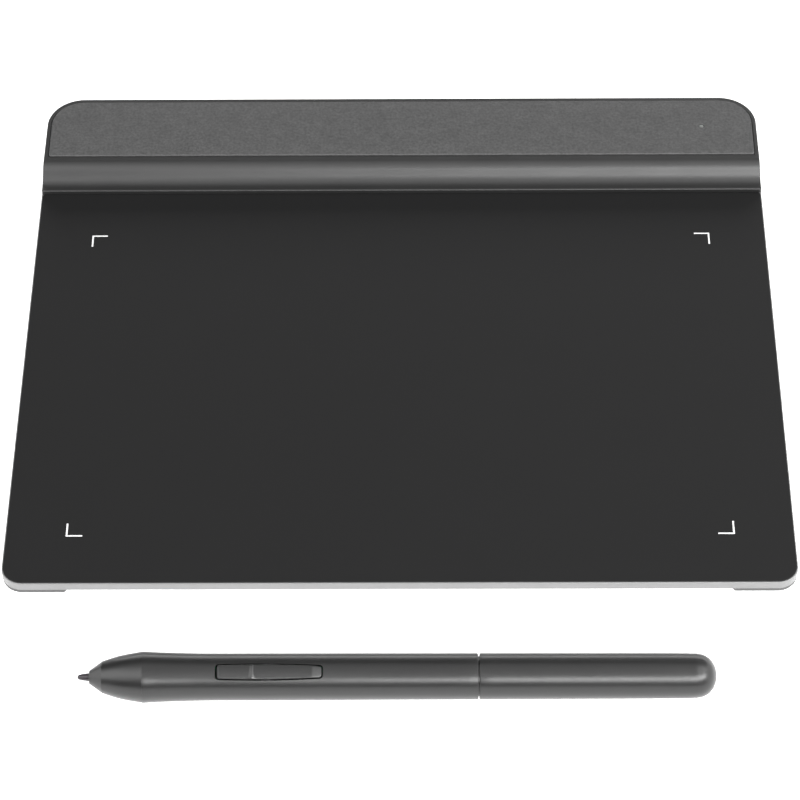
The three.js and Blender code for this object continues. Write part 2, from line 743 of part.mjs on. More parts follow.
// The rocker's plan in (X, Y): bowed sides and round corners, grown by a clearance.
function rockerOutline(grow) {
  const end = ROCKER_END_W / 2 + grow;
  const bow = ROCKER_MID_W - ROCKER_END_W;
  const r = ROCKER_CORNER_R + grow / 2;
  const left = ROCKER_X - ROCKER_L / 2 - grow + r;
  const right = ROCKER_X + ROCKER_L / 2 + grow - r;
  const shape = new THREE.Shape();
  shape.moveTo(left, -end);
  shape.quadraticCurveTo(ROCKER_X, -end - bow, right, -end);
  shape.absarc(right, -end + r, r, -Math.PI / 2, 0);
  shape.absarc(right, end - r, r, 0, Math.PI / 2);
  shape.quadraticCurveTo(ROCKER_X, end + bow, left, end);
  shape.absarc(left, end - r, r, Math.PI / 2, Math.PI);
  shape.absarc(left, -end + r, r, Math.PI, 1.5 * Math.PI);
  return shape;
}

// A crowned cap with a ridge to feel, a lug for the pin and two feet over the switches.
function rockerButton() {
  const reach = ROCKER_L / 2 + ROCKER_CORNER_R;
  const crown = turned([
    [ROCKER_X - reach, 0],
    [ROCKER_X - reach, ROCKER_END_R],
    [ROCKER_X - FRONT_RAMP, ROCKER_CROWN_R],
    [RIDGE_X - RIDGE_FOOT_HALF, ROCKER_CROWN_R],
    [RIDGE_X - RIDGE_TOP_HALF, ROCKER_CROWN_R + RIDGE_H],
    [RIDGE_X + RIDGE_TOP_HALF, ROCKER_CROWN_R + RIDGE_H],
    [RIDGE_X + RIDGE_FOOT_HALF, ROCKER_CROWN_R],
    [ROCKER_X + REAR_RAMP, ROCKER_CROWN_R],
    [ROCKER_X + reach, ROCKER_END_R],
    [ROCKER_X + reach, 0],
  ]);
  const cap = common(slab(rockerOutline(0), ROCKER_UNDERSIDE, 2 * FLARE_R), crown);
  const top = ROCKER_UNDERSIDE + JOIN_MARGIN;
  const half = LUG_HALF_W;
  const lug = block(ROCKER_X - half, ROCKER_X + half, -half, half, LUG_BOTTOM, top);
  const feet = [-SWITCH_REACH, SWITCH_REACH].map((x) =>
    post(ROCKER_X + x, 0, ROCKER_FOOT_BOTTOM, top, ROCKER_FOOT_R),
  );
  return cut(join(cap, lug, ...feet), rodY(ROCKER_X, PIVOT_Z, 2 * half, PIN_R + PIN_CLEARANCE));
}

const rockerPin = () => rodY(ROCKER_X, PIVOT_Z, PIN_HALF_L, PIN_R);

// A base on the board and two ears that hold the pin.
function rockerBracket() {
  const x0 = ROCKER_X - EAR_HALF_L;
  const x1 = ROCKER_X + EAR_HALF_L;
  const baseTop = PEN_PARTS_BOTTOM + BRACKET_BASE_T;
  const base = block(x0, x1, -EAR_OUTER, EAR_OUTER, PEN_PARTS_BOTTOM, baseTop);
  const earTop = PIVOT_Z + EAR_ABOVE_PIVOT;
  const ears = [
    block(x0, x1, -EAR_OUTER, -EAR_INNER, baseTop - SHEET_GAP, earTop),
    block(x0, x1, EAR_INNER, EAR_OUTER, baseTop - SHEET_GAP, earTop),
  ];
  return cut(join(base, ...ears), rodY(ROCKER_X, PIVOT_Z, 2 * EAR_OUTER, PIN_R + PIN_CLEARANCE));
}

// ---------------------------------------------------------------- pen: inner pieces

function tactSwitch(x) {
  const top = PEN_PARTS_BOTTOM + SWITCH_BODY_T;
  const x0 = x - SWITCH_HALF_L;
  const x1 = x + SWITCH_HALF_L;
  const body = block(x0, x1, -SWITCH_HALF_W, SWITCH_HALF_W, PEN_PARTS_BOTTOM, top);
  return join(body, post(x, 0, top - JOIN_MARGIN, PLUNGER_TOP, PLUNGER_R));
}

function penBoard() {
  const half = PEN_BOARD_HALF_W;
  return block(PEN_BOARD_START, PEN_BOARD_END, -half, half, PEN_BOARD_BOTTOM, PEN_BOARD_TOP);
}

function penChip() {
  const { start, end, halfW, t } = PEN_CHIP;
  return block(start, end, -halfW, halfW, PEN_PARTS_BOTTOM, PEN_PARTS_BOTTOM + t);
}

// A half tube under the board.
function boardCarrier() {
  const x0 = CARRIER.start - CUT_MARGIN;
  const x1 = CARRIER.end + CUT_MARGIN;
  const reach = CARRIER.outer + CUT_MARGIN;
  const above = block(x0, x1, -reach, reach, PEN_BOARD_BOTTOM - SHEET_GAP, reach);
  return cut(tube(CARRIER, ROUND_SEGMENTS), above);
}

// ---------------------------------------------------------------- assembly

const tablet = new THREE.Group();
tablet.position.y = TABLET_Y;
addPiece(tablet, "work_surface", workSurface(), film);
addPiece(tablet, "edge_frame", edgeFrame(), silver);
addPiece(tablet, "bottom_shell", bottomShell(), darkPlastic);
addPiece(tablet, "sensor_board", sensorBoard(), circuit);
addPiece(tablet, "shield_foil", shieldFoil(), foil);
addPiece(tablet, "bar_housing", barHousing(), housingPlastic);
addPiece(tablet, "panel_insert", panelInsert(), panelPlastic);
addPiece(tablet, "controller_board", controllerBoard(), circuit);
addPiece(tablet, "controller_chip", chip(CHIPS.controller_chip), innerPlastic);
addPiece(tablet, "signal_chip", chip(CHIPS.signal_chip), innerPlastic);
addPiece(tablet, "memory_chip", chip(CHIPS.memory_chip), innerPlastic);
addPiece(tablet, "crystal", chip(CHIPS.crystal), steel);
addPiece(tablet, "status_led", chip(CHIPS.status_led), connectorPlastic);
addPiece(tablet, "light_pipe", post(LED_X, LED_Y, LIGHT_PIPE_BOTTOM, PANEL_TOP, LIGHT_PIPE_R), clearPlastic);
const onBoard = connector(BOARD_CONNECTOR_Y, BOARD_TOP + SHEET_GAP);
const onSensor = connector(SENSOR_CONNECTOR_Y, SENSOR_TOP + SHEET_GAP);
addPiece(tablet, "board_connector", onBoard, connectorPlastic);
addPiece(tablet, "sensor_connector", onSensor, connectorPlastic);
addPiece(tablet, "sensor_flex", sensorFlex(), flexFilm);
addPiece(tablet, "usb_shell", usbShell(), steel);
addPiece(tablet, "usb_tongue", usbTongue(), innerPlastic);
for (const [name, ...size] of FEET) {
  addPiece(tablet, name, foot(...size), rubber);
}
CASE_SCREW_X.forEach((x, i) => {
  addPiece(tablet, `case_screw_${i + 1}`, screw(x, CASE_SCREW_Y, CASE_SCREW), steel);
});
BOARD_SCREW_X.forEach((x, i) => {
  addPiece(tablet, `board_screw_${i + 1}`, screw(x, BOARD_SCREW_Y, BOARD_SCREW), steel);
});

const pen = new THREE.Group();
pen.rotation.set(PEN_ROLL, PEN_TILT, PEN_YAW, "ZYX");
const flareOnDesk = new THREE.Vector3(PEN_FLARE_AT_X, TABLET_Y - PEN_GAP - FLARE_R, FLARE_R);
const flareInPen = new THREE.Vector3(FLARE_X, 0, 0).applyEuler(pen.rotation);
pen.position.copy(flareOnDesk).sub(flareInPen);
addPiece(pen, "nib", nib(), nibPlastic);
addPiece(pen, "nib_holder", nibHolder(), nibPlastic);
addPiece(pen, "sensor_pad", sensorPad(), silicone);
addPiece(pen, "nose_cone", noseCone(), penPlastic);
addPiece(pen, "front_barrel", frontBarrel(), penPlastic);
addPiece(pen, "rear_barrel", rearBarrel(), penPlastic);
addPiece(pen, "coupling_sleeve", couplingSleeve(), innerPlastic);
addPiece(pen, "rocker_button", rockerButton(), penPlastic);
addPiece(pen, "rocker_pin", rockerPin(), steel);
addPiece(pen, "rocker_bracket", rockerBracket(), steel);
addPiece(pen, "switch_front", tactSwitch(ROCKER_X - SWITCH_REACH), innerPlastic);
addPiece(pen, "switch_rear", tactSwitch(ROCKER_X + SWITCH_REACH), innerPlastic);
addPiece(pen, "pen_board", penBoard(), circuit);
addPiece(pen, "pen_chip", penChip(), innerPlastic);
addPiece(pen, "board_carrier", boardCarrier(), innerPlastic);
addPiece(pen, "ferrite_core", tube(CORE), ferrite);
addPiece(pen, "coil_winding", tube(COIL), copper);
addPiece(pen, "sensor_housing", tube(SENSOR_HOUSING), innerPlastic);
addPiece(pen, "pressure_sensor", tube(PRESSURE_SENSOR), connectorPlastic);

const drawingTablet = new THREE.Group();
drawingTablet.add(tablet, pen);

export default drawingTablet;
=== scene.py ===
import json
import math

import bmesh
import bpy
from mathutils import Matrix, Vector


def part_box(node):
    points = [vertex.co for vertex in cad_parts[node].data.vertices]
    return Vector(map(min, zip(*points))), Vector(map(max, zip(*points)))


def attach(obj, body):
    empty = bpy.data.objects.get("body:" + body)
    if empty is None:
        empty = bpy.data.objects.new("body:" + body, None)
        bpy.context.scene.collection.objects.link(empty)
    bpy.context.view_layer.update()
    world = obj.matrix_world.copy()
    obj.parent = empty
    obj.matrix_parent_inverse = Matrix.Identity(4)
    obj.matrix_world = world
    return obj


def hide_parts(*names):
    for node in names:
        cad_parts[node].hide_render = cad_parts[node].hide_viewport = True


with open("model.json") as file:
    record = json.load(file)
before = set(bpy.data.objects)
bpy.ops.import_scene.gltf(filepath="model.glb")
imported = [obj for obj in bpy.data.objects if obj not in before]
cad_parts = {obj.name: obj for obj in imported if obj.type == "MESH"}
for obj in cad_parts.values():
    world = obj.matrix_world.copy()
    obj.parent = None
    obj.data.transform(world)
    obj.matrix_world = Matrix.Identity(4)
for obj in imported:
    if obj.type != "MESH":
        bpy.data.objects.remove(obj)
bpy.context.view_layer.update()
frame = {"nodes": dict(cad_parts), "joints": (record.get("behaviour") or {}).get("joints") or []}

MM = 0.001
scene = bpy.context.scene


def box_mm(node):
    """A CAD node's lowest and highest corners, in millimetres."""
    low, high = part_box(node)
    return low / MM, high / MM


# ------------------------------------------------------------------ places and sizes, in millimetres
# Tablet: Y runs from its front edge to its back, Z up from the desk.

frame_low, frame_high = box_mm("edge_frame")
FRONT_Y = frame_low.y
HALF_W = frame_high.x
DEPTH = frame_high.y - FRONT_Y
FRAME_BOTTOM = frame_low.z
FRAME_TOP = frame_high.z
film_low, film_high = box_mm("work_surface")
PLATE_TOP = film_high.z
panel_low, panel_high = box_mm("panel_insert")
shell_low, shell_high = box_mm("bottom_shell")
FOOT_TOP = box_mm("foot_front_left")[1].z
usb_low, usb_high = box_mm("usb_shell")
pipe_low, pipe_high = box_mm("light_pipe")
PIPE_X = (pipe_low.x + pipe_high.x) / 2
PIPE_Y = (pipe_low.y + pipe_high.y) / 2 - FRONT_Y
PIPE_R = (pipe_high.x - pipe_low.x) / 2

FRONT_CORNER_R = 5.1
REAR_CORNER_R = 9.6
FILM_REAR_CORNER_R = 0.8
FILM_TOP_EDGE_R = 0.09
FILM_BOTTOM_EDGE_R = 0.02
FRAME_WALL = 1.2
FRAME_BOTTOM_EDGE_R = 0.16
FRAME_TOP_EDGE_R = 0.2
WEB_T = 0.45
SKIRT_T = 0.3
SKIRT_TOP = 1.43
WEB_REACH = 4.2
WEB_END = 133.5
BAR_FRONT = 129.85
BAR_FRONT_CORNER_R = 0.45
LIP_H = 1.15
LIP_FLAT = 0.6
VALLEY_OFFSET = 1.6
VALLEY_H = 1.02
SHOULDER_OFFSET = 7.9
SHOULDER_H = 4.9
COVE_PULL = 3.35
SHOULDER_PULL = 3.35
COVE_STEPS = 28
PANEL_CORNER_R = 8.3
PANEL_FRONT_CORNER_R = 0.5
PANEL_GAP = 0.2
PANEL_EDGE_R = 0.10
PANEL_FRONT_EDGE_GAIN = 0.30
RECESS_DEPTH = 0.46
RECESS_EDGE = 0.05
CAVITY_SETBACK = 0.8
CAVITY_FRONT_CORNER_R = 1.0
BAR_WALL = 1.3
BAR_DRAFT = 0.065
BAR_GAP = 0.05
BAR_BOTTOM_BEVEL = 0.08
LIP_FRONT_EDGE_R = 0.33
BAR_EDGE_R = 0.2
BAR_EDGE_R_GAIN = 0.25
BAR_EDGE_GAIN_RUN = 20
CEILING_Z = 7.25
PORT_CLEARANCE = 0.25
PORT_DEPTH = 7.4
USB_WALL = 0.3
TONGUE_HALF_W = 3.35
TONGUE_HALF_T = 0.35
TONGUE_BEVEL = 0.08
CONTACT_COUNT = 12
CONTACT_PITCH = 0.5
CONTACT_HALF_W = 0.13
CONTACT_HALF_T = 0.02
CONTACT_Z = 0.36
CONTACT_BACK = 3.6
CONTACT_FRONT = 0.7
LED_CLEARANCE = 0.1
MARK_HALF_SPAN = 80.25
MARK_FRONT_Y = 14.6
MARK_REAR_Y = 114.6
MARK_LEG = 4.0
MARK_STROKE = 0.42
MARK_T = 0.012
MARK_TURN = 0.0022
FOOT_W = 6.0
FOOT_INSET = 0.1
FOOT_INNER_R = 3.0
FOOT_END_SLOPE = 0.5
FRONT_FOOT_L = 15.7
REAR_FOOT_L = 20.0
SHELL_FLANGE_T = 0.28
SHELL_FLANGE_INSET = 0.35
SHELL_INNER_INSET = 1.45
SHELL_EDGE_R = 0.14
CASE_SCREWS = ("case_screw_1", "case_screw_2", "case_screw_3", "case_screw_4")
SINK_R = 2.05
SINK_NECK_R = 1.2
SINK_DEPTH = 0.6
CROSS_ARM = 0.85
CROSS_HALF_T = 0.2
CROSS_DEPTH = 0.3
THREAD_TURNS = 14
THREAD_PITCH = 0.2

# Pen: X runs along its axis from the nib's tip, +Z out through the rocker.
FLARE_X = 15.3
SEAM_X = 92.6
SEAM_GAP = 0.35
SEAM_FLOOR_R = 4.65
BARREL_BORE_R = 4.5
ROCKER_X = 44.5
ROCKER_L = 24.25
ROCKER_END_W = 2.92
ROCKER_MID_W = 3.45
ROCKER_TAPER = 0.11
ROCKER_GAP = 0.28
ROCKER_CORNER_R = 0.7
ROCKER_UNDERSIDE = 4.0
ROCKER_EDGE_R = 0.16
ROCKER_CORNER_STEPS = 8

LATHE_SEGMENTS = 128
SMALL_LATHE_SEGMENTS = 48
ARC_STEPS = 20
EDGE_STEPS = 4
SMOOTH_ANGLE = math.radians(32)


# ------------------------------------------------------------------ placing

def joint(name):
    return next(j for j in frame["joints"] if j["name"] == name)


def pen_matrix():
    """Turns the pen's own frame into the shared one: its origin is the nib's outermost point."""
    along = Vector(joint("nib_press")["axis"]).normalized()
    across = Vector(joint("rocker_tilt")["axis"]).normalized()
    out = along.cross(across).normalized()
    tip = min((v.co for v in frame["nodes"]["nib"].data.vertices), key=lambda co: co.dot(along))
    turn = Matrix((along, across, out)).transposed().to_4x4()
    return Matrix.Translation(tip) @ turn


ON_TABLET = Matrix.Translation((0, FRONT_Y * MM, 0)) @ Matrix.Scale(MM, 4)
ON_PEN = pen_matrix() @ Matrix.Scale(MM, 4)


# ------------------------------------------------------------------ mesh building

def mesh_object(name, points, faces, place):
    mesh = bpy.data.meshes.new(name)
    mesh.from_pydata([place @ Vector(p) for p in points], [], faces)
    bm = bmesh.new()
    bm.from_mesh(mesh)
    bmesh.ops.remove_doubles(bm, verts=bm.verts, dist=1e-7)
    bmesh.ops.recalc_face_normals(bm, faces=bm.faces)
    bm.to_mesh(mesh)
    bm.free()
    obj = bpy.data.objects.new(name, mesh)
    scene.collection.objects.link(obj)
    return obj


def smooth_shade(obj, angle=SMOOTH_ANGLE):
    """Smooth faces, with a crease where two faces meet at more than the angle."""
    bm = bmesh.new()
    bm.from_mesh(obj.data)
    for face in bm.faces:
        face.smooth = True
    for edge in bm.edges:
        edge.smooth = edge.is_manifold and edge.calc_face_angle(0) < angle
    bm.to_mesh(obj.data)
    bm.free()


def keep_flats_flat(obj):
    """Weights the normals by face area, so that a rounded edge doesn't shade the flat beside it."""
    modifier = obj.modifiers.new("flats", "WEIGHTED_NORMAL")
    modifier.keep_sharp = True


def cut_away(obj, *cutters):
    """Subtracts the cutters from obj and deletes them."""
    for cutter in cutters:
        modifier = obj.modifiers.new("cut", "BOOLEAN")
        modifier.operation = "DIFFERENCE"
        modifier.solver = "EXACT"
        modifier.object = cutter
    bpy.context.view_layer.update()
    evaluated = obj.evaluated_get(bpy.context.evaluated_depsgraph_get())
    made = bpy.data.meshes.new_from_object(evaluated)
    obj.modifiers.clear()
    obj.data = made
    for cutter in cutters:
        bpy.data.objects.remove(cutter)


def number(value, x, y):
    return value(x, y) if callable(value) else value


def outline(x0, x1, y0, y1, front_r, rear_r, side_ys=(), steps=ARC_STEPS):
    """Points (x, y, normal x, normal y) counter-clockwise from the front right corner."""
    points = []

    def corner(cx, cy, r, start):
        for k in range(steps + 1):
            a = math.radians(start + 90 * k / steps)
            points.append((cx + r * math.cos(a), cy + r * math.sin(a), math.cos(a), math.sin(a)))

    corner(x1 - front_r, y0 + front_r, front_r, -90)
    points.extend((x1, y, 1, 0) for y in side_ys)
    corner(x1 - rear_r, y1 - rear_r, rear_r, 0)
    corner(x0 + rear_r, y1 - rear_r, rear_r, 90)
    points.extend((x0, y, -1, 0) for y in reversed(side_ys))
    corner(x0 + front_r, y0 + front_r, front_r, 180)
    return points


def tablet_outline(inset=0.0, side_ys=()):
    return outline(
        -HALF_W + inset,
        HALF_W - inset,
        inset,
        DEPTH - inset,
        FRONT_CORNER_R - inset,
        REAR_CORNER_R - inset,
        side_ys,
    )


def ring(points, inset, z):
    """The outline drawn in by inset, at height z; either may be a function of the outline's x and y."""
    made = []
    for x, y, nx, ny in points:
        d = number(inset, x, y)
        px = x - nx * d
        py = y - ny * d
        made.append((px, py, number(z, px, py)))
    return made


def stack(rings, first_cap=True, last_cap=True, closed=False):
    """Points and faces of a body lofted through rings of equal length."""
    n = len(rings[0])
    points = [p for r in rings for p in r]
    faces = []
    count = len(rings)
    for i in range(count if closed else count - 1):
        a = i * n
        b = ((i + 1) % count) * n
        for k in range(n):
            m = (k + 1) % n
            faces.append((a + k, a + m, b + m, b + k))
    if first_cap and not closed:
        faces.append(tuple(reversed(range(n))))
    if last_cap and not closed:
        faces.append(tuple(range((count - 1) * n, count * n)))
    return points, faces


def quarter(radius, steps=EDGE_STEPS):
    """(inset, drop) pairs round an edge, from its side to its top."""
    pairs = []
    for k in range(steps + 1):
        a = math.radians(90 * k / steps)
        pairs.append((radius * (1 - math.cos(a)), radius * (1 - math.sin(a))))
    return pairs


def plate(name, points, z0, z1, top_r, bottom_r, place):
    """A flat plate with rounded upper and lower edges."""
    rings = [ring(points, d, z0 + drop) for d, drop in reversed(quarter(bottom_r))]
    rings += [ring(points, d, z1 - drop) for d, drop in quarter(top_r)]
    obj = mesh_object(name, *stack(rings), place)
    smooth_shade(obj, math.radians(50))
    keep_flats_flat(obj)
    return obj


def lathe(name, profile, place, segments=LATHE_SEGMENTS, closed=False, crease=SMOOTH_ANGLE):
    """A turned body about X from (x, radius) stations. A closed profile makes a tube."""
    points = []
    index = []
    for x, r in profile:
        if r == 0:
            index.append([len(points)] * segments)
            points.append((x, 0, 0))
            continue
        index.append(list(range(len(points), len(points) + segments)))
        for k in range(segments):
            a = 2 * math.pi * k / segments
            points.append((x, r * math.cos(a), r * math.sin(a)))
    faces = []
    pairs = list(zip(index, index[1:]))
    if closed:
        pairs.append((index[-1], index[0]))
    for a, b in pairs:
        for k in range(segments):
            m = (k + 1) % segments
            face = [a[k], a[m], b[m], b[k]]
            unique = list(dict.fromkeys(face))
            if len(unique) > 2:
                faces.append(tuple(unique))
    obj = mesh_object(name, points, faces, place)
    smooth_shade(obj, crease)
    return obj


def curve_through(stations, steps=6):
    """Adds Catmull-Rom stations between the given (x, radius) stations."""
    made = []
    last = len(stations) - 1
    for i in range(last):
        p0 = stations[max(i - 1, 0)]
        p1 = stations[i]
        p2 = stations[i + 1]
        p3 = stations[min(i + 2, last)]
        m1 = (p2[1] - p0[1]) / max(p2[0] - p0[0], 1e-9)
        m2 = (p3[1] - p1[1]) / max(p3[0] - p1[0], 1e-9)
        dx = p2[0] - p1[0]
        for k in range(steps):
            t = k / steps
            h00 = 2 * t ** 3 - 3 * t ** 2 + 1
            h10 = t ** 3 - 2 * t ** 2 + t
            h01 = -2 * t ** 3 + 3 * t ** 2
            h11 = t ** 3 - t ** 2
            r = h00 * p1[1] + h10 * dx * m1 + h01 * p2[1] + h11 * dx * m2
            made.append((p1[0] + t * dx, r))
    made.append(stations[-1])
    return made


def block(name, x0, x1, y0, y1, z0, z1, place):
    """A plain cutter block."""
    points = [(x, y, z) for z in (z0, z1) for x, y in ((x0, y0), (x1, y0), (x1, y1), (x0, y1))]
    faces = [(0, 3, 2, 1), (4, 5, 6, 7), (0, 1, 5, 4), (1, 2, 6, 5), (2, 3, 7, 6), (3, 0, 4, 7)]
    return mesh_object(name, points, faces, place)


def post(name, x, y, z0, z1, r0, r1, place):
    """An upright round cutter, or a cone where the radii differ."""
    rings = []
    for z, r in ((z0, r0), (z1, r1)):
        turn = (2 * math.pi * k / SMALL_LATHE_SEGMENTS for k in range(SMALL_LATHE_SEGMENTS))
        rings.append([(x + r * math.cos(a), y + r * math.sin(a), z) for a in turn])
    return mesh_object(name, *stack(rings), place)


# ------------------------------------------------------------------ materials

def material(name):
    made = bpy.data.materials.new(name)
    made.use_nodes = True
    return made, made.node_tree.nodes, made.node_tree.links


def socket(node, name, value):
    node.inputs[name].default_value = value


def textured(
    name,
    color,
    rough,
    vary=0.08,
    vary_scale=120.0,
    grain_scale=2600.0,
    grain_color=0.0,
    grain_rough=0.06,
    bump=0.1,
    bump_distance=0.00004,
    metallic=0.0,
    specular=0.5,
    coat=0.0,
    coat_rough=0.2,
    scratches=0.0,
    smudge=0.0,
):
    """Moulded or printed stuff: broad colour variation, a fine grain in colour, gloss and height."""
    made, nodes, links = material(name)
    shader = nodes["Principled BSDF"]
    socket(shader, "Metallic", metallic)
    socket(shader, "Specular IOR Level", specular)
    socket(shader, "Coat Weight", coat)
    socket(shader, "Coat Roughness", coat_rough)
    where = nodes.new("ShaderNodeTexCoord").outputs["Object"]

    def noise(scale, detail, roughness=0.5, source=where):
        node = nodes.new("ShaderNodeTexNoise")
        socket(node, "Scale", scale)
        socket(node, "Detail", detail)
        socket(node, "Roughness", roughness)
        links.new(source, node.inputs["Vector"])
        return node.outputs["Fac"]

    def spread(value, low, high):
        node = nodes.new("ShaderNodeMapRange")
        socket(node, "From Min", 0.25)
        socket(node, "From Max", 0.75)
        socket(node, "To Min", low)
        socket(node, "To Max", high)
        links.new(value, node.inputs["Value"])
        return node.outputs["Result"]

    def multiply(a, b):
        node = nodes.new("ShaderNodeMath")
        node.operation = "MULTIPLY"
        links.new(a, node.inputs[0])
        links.new(b, node.inputs[1])
        return node.outputs["Value"]

    def add(a, b):
        node = nodes.new("ShaderNodeMath")
        node.operation = "ADD"
        links.new(a, node.inputs[0])
        links.new(b, node.inputs[1])
        return node.outputs["Value"]

    broad = noise(vary_scale, 3.0)
    grain = noise(grain_scale, 2.0, 0.6)
    shade = multiply(spread(broad, 1 - vary, 1 + vary), spread(grain, 1 - grain_color, 1 + grain_color))
    tint = nodes.new("ShaderNodeVectorMath")
    tint.operation = "SCALE"
    tint.inputs[0].default_value = color
    links.new(shade, tint.inputs["Scale"])
    links.new(tint.outputs["Vector"], shader.inputs["Base Color"])

    gloss = add(spread(broad, rough - smudge, rough), spread(grain, -grain_rough, grain_rough))
    links.new(gloss, shader.inputs["Roughness"])

    height = grain
    if scratches:
        stretch = nodes.new("ShaderNodeMapping")
        socket(stretch, "Scale", (40.0, 1400.0, 1400.0))
        links.new(where, stretch.inputs["Vector"])
        lines = noise(1.0, 4.0, 0.7, stretch.outputs["Vector"])
        height = add(grain, spread(lines, 0.0, scratches))
    relief = nodes.new("ShaderNodeBump")
    socket(relief, "Strength", bump)
    socket(relief, "Distance", bump_distance)
    links.new(height, relief.inputs["Height"])
    links.new(relief.outputs["Normal"], shader.inputs["Normal"])
    return made


def grey(value):
    return (value, value, value)


# Each call gives: name, colour, roughness, broad variation and its scale, grain scale, grain in colour, grain
# in roughness, bump.
FILM = textured("film", (0.0045, 0.0045, 0.0046), 0.50, 0.03, 60, 3000, 0.05, 0.03, 0.08, specular=0.215)
SILVER = textured("silver", grey(0.18), 0.36, 0.03, 90, 2400, 0.04, 0.06, 0.10, metallic=0.35)
SHELL = textured("shell", grey(0.035), 0.55, 0.06, 80, 1700, 0.15, 0.08, 0.35)
BAR = textured("bar", grey(0.012), 0.42, 0.04, 70, 2200, 0.05, 0.04, 0.10, smudge=0.03)
PANEL = textured("panel", grey(0.035), 0.52, 0.10, 260, 1500, 0.36, 0.08, 0.45, bump_distance=0.00008)
RUBBER = textured("rubber", grey(0.07), 0.75, 0.08, 200, 1800, 0.12, 0.05, 0.30)
MARK = textured("mark", grey(0.50), 0.60, 0.03, 300, 2600, 0.05, 0.05, 0.10)
PEN_BODY = textured("pen_body", grey(0.006), 0.35, 0.04, 90, 2400, 0.06, 0.05, 0.12, smudge=0.03)
NIB = textured("nib", (0.012, 0.009, 0.012), 0.30, 0.05, 400, 3000, 0.05, 0.03, 0.05)
DARK = textured("inner_black", grey(0.018), 0.55, 0.08, 300, 2400, 0.10, 0.05, 0.20)
IVORY = textured("connector_ivory", (0.70, 0.67, 0.58), 0.50, 0.05, 300, 2400, 0.05, 0.05, 0.12)
STEEL = textured(
    "steel", (0.52, 0.52, 0.54), 0.26, 0.06, 400, 2600, 0.04, 0.08, 0.12, metallic=1.0, scratches=0.8
)
FOIL = textured(
    "foil", (0.62, 0.62, 0.63), 0.34, 0.05, 200, 1600, 0.04, 0.10, 0.4, metallic=1.0, scratches=0.5
)
COPPER = textured(
    "copper", (0.72, 0.38, 0.20), 0.30, 0.05, 300, 2600, 0.05, 0.06, 0.2, metallic=1.0, scratches=2.0
)
GOLD = textured("gold", (0.83, 0.60, 0.26), 0.24, 0.04, 300, 2600, 0.03, 0.05, 0.05, metallic=1.0)
FERRITE = textured("ferrite", grey(0.045), 0.62, 0.10, 500, 2000, 0.20, 0.08, 0.35)
SILICONE = textured("silicone", (0.60, 0.60, 0.56), 0.60, 0.04, 400, 2400, 0.04, 0.04, 0.10)
FLEX = textured("flex_film", (0.46, 0.20, 0.05), 0.30, 0.08, 250, 2200, 0.05, 0.04, 0.05, scratches=0.6)
LENS = textured("lens", (0.10, 0.105, 0.10), 0.30, 0.05, 600, 3000, 0.05, 0.04, 0.05, coat=0.3)


def circuit_board(name):
    """Green solder mask over raised copper tracks and a sprinkling of tinned pads."""
    made, nodes, links = material(name)
    shader = nodes["Principled BSDF"]
    where = nodes.new("ShaderNodeTexCoord").outputs["Object"]
    tracks = nodes.new("ShaderNodeTexBrick")
    socket(tracks, "Scale", 260.0)
    socket(tracks, "Mortar Size", 0.03)
    socket(tracks, "Color1", (0.010, 0.085, 0.040, 1))
    socket(tracks, "Color2", (0.014, 0.110, 0.052, 1))
    socket(tracks, "Mortar", (0.030, 0.180, 0.085, 1))
    links.new(where, tracks.inputs["Vector"])
    pads = nodes.new("ShaderNodeTexVoronoi")
    socket(pads, "Scale", 420.0)
    links.new(where, pads.inputs["Vector"])
    near = nodes.new("ShaderNodeMath")
    near.operation = "LESS_THAN"
    near.inputs[1].default_value = 0.16
    links.new(pads.outputs["Distance"], near.inputs[0])
    mix = nodes.new("ShaderNodeMix")
    mix.data_type = "RGBA"
    mix.inputs[7].default_value = (0.55, 0.53, 0.48, 1)
    links.new(near.outputs["Value"], mix.inputs[0])
    links.new(tracks.outputs["Color"], mix.inputs[6])
    links.new(mix.outputs[2], shader.inputs["Base Color"])
    links.new(near.outputs["Value"], shader.inputs["Metallic"])
    socket(shader, "Roughness", 0.35)
    relief = nodes.new("ShaderNodeBump")
    socket(relief, "Strength", 0.3)
    socket(relief, "Distance", 0.00004)
    links.new(tracks.outputs["Fac"], relief.inputs["Height"])
    links.new(relief.outputs["Normal"], shader.inputs["Normal"])
    return made


CIRCUIT = circuit_board("circuit_board")


def finish_piece(obj, look, body, slot, *nodes):
    """Gives a piece its material and its body, and hides the CAD nodes it stands for. The slot argument is
    not used.
    """
    obj.data.materials.clear()
    obj.data.materials.append(look)
    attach(obj, body)
    if nodes:
        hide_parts(*nodes)
    return obj


# ------------------------------------------------------------------ tablet: plate

def local(corner):
    """A corner in the shared frame, in millimetres, as the tablet's own frame gives it."""
    return corner.x, corner.y - FRONT_Y, corner.z


def make_film():
    x0, y0, z0 = local(film_low)
    x1, y1, z1 = local(film_high)
    inset = HALF_W - x1
    points = outline(x0, x1, y0, y1, FRONT_CORNER_R - inset, FILM_REAR_CORNER_R)
    film = plate("drawing_film", points, z0, z1, FILM_TOP_EDGE_R, FILM_BOTTOM_EDGE_R, ON_TABLET)
    finish_piece(film, FILM, "tablet", "surface_film", "work_surface")


def stadium(half_w, half_h, steps=16):
    """Points (x, z, normal x, normal z) of the port's outline, about its centre."""
    straight = half_w - half_h
    points = []
    for side, start in ((1, -90), (-1, 90)):
        for k in range(steps + 1):
            a = math.radians(start + 180 * k / steps)
            nx, nz = math.cos(a), math.sin(a)
            points.append((side * straight + half_h * nx, half_h * nz, nx, nz))
    return points


USB_HALF_W = (usb_high.x - usb_low.x) / 2
USB_HALF_H = (usb_high.z - usb_low.z) / 2
USB_Z = (usb_high.z + usb_low.z) / 2


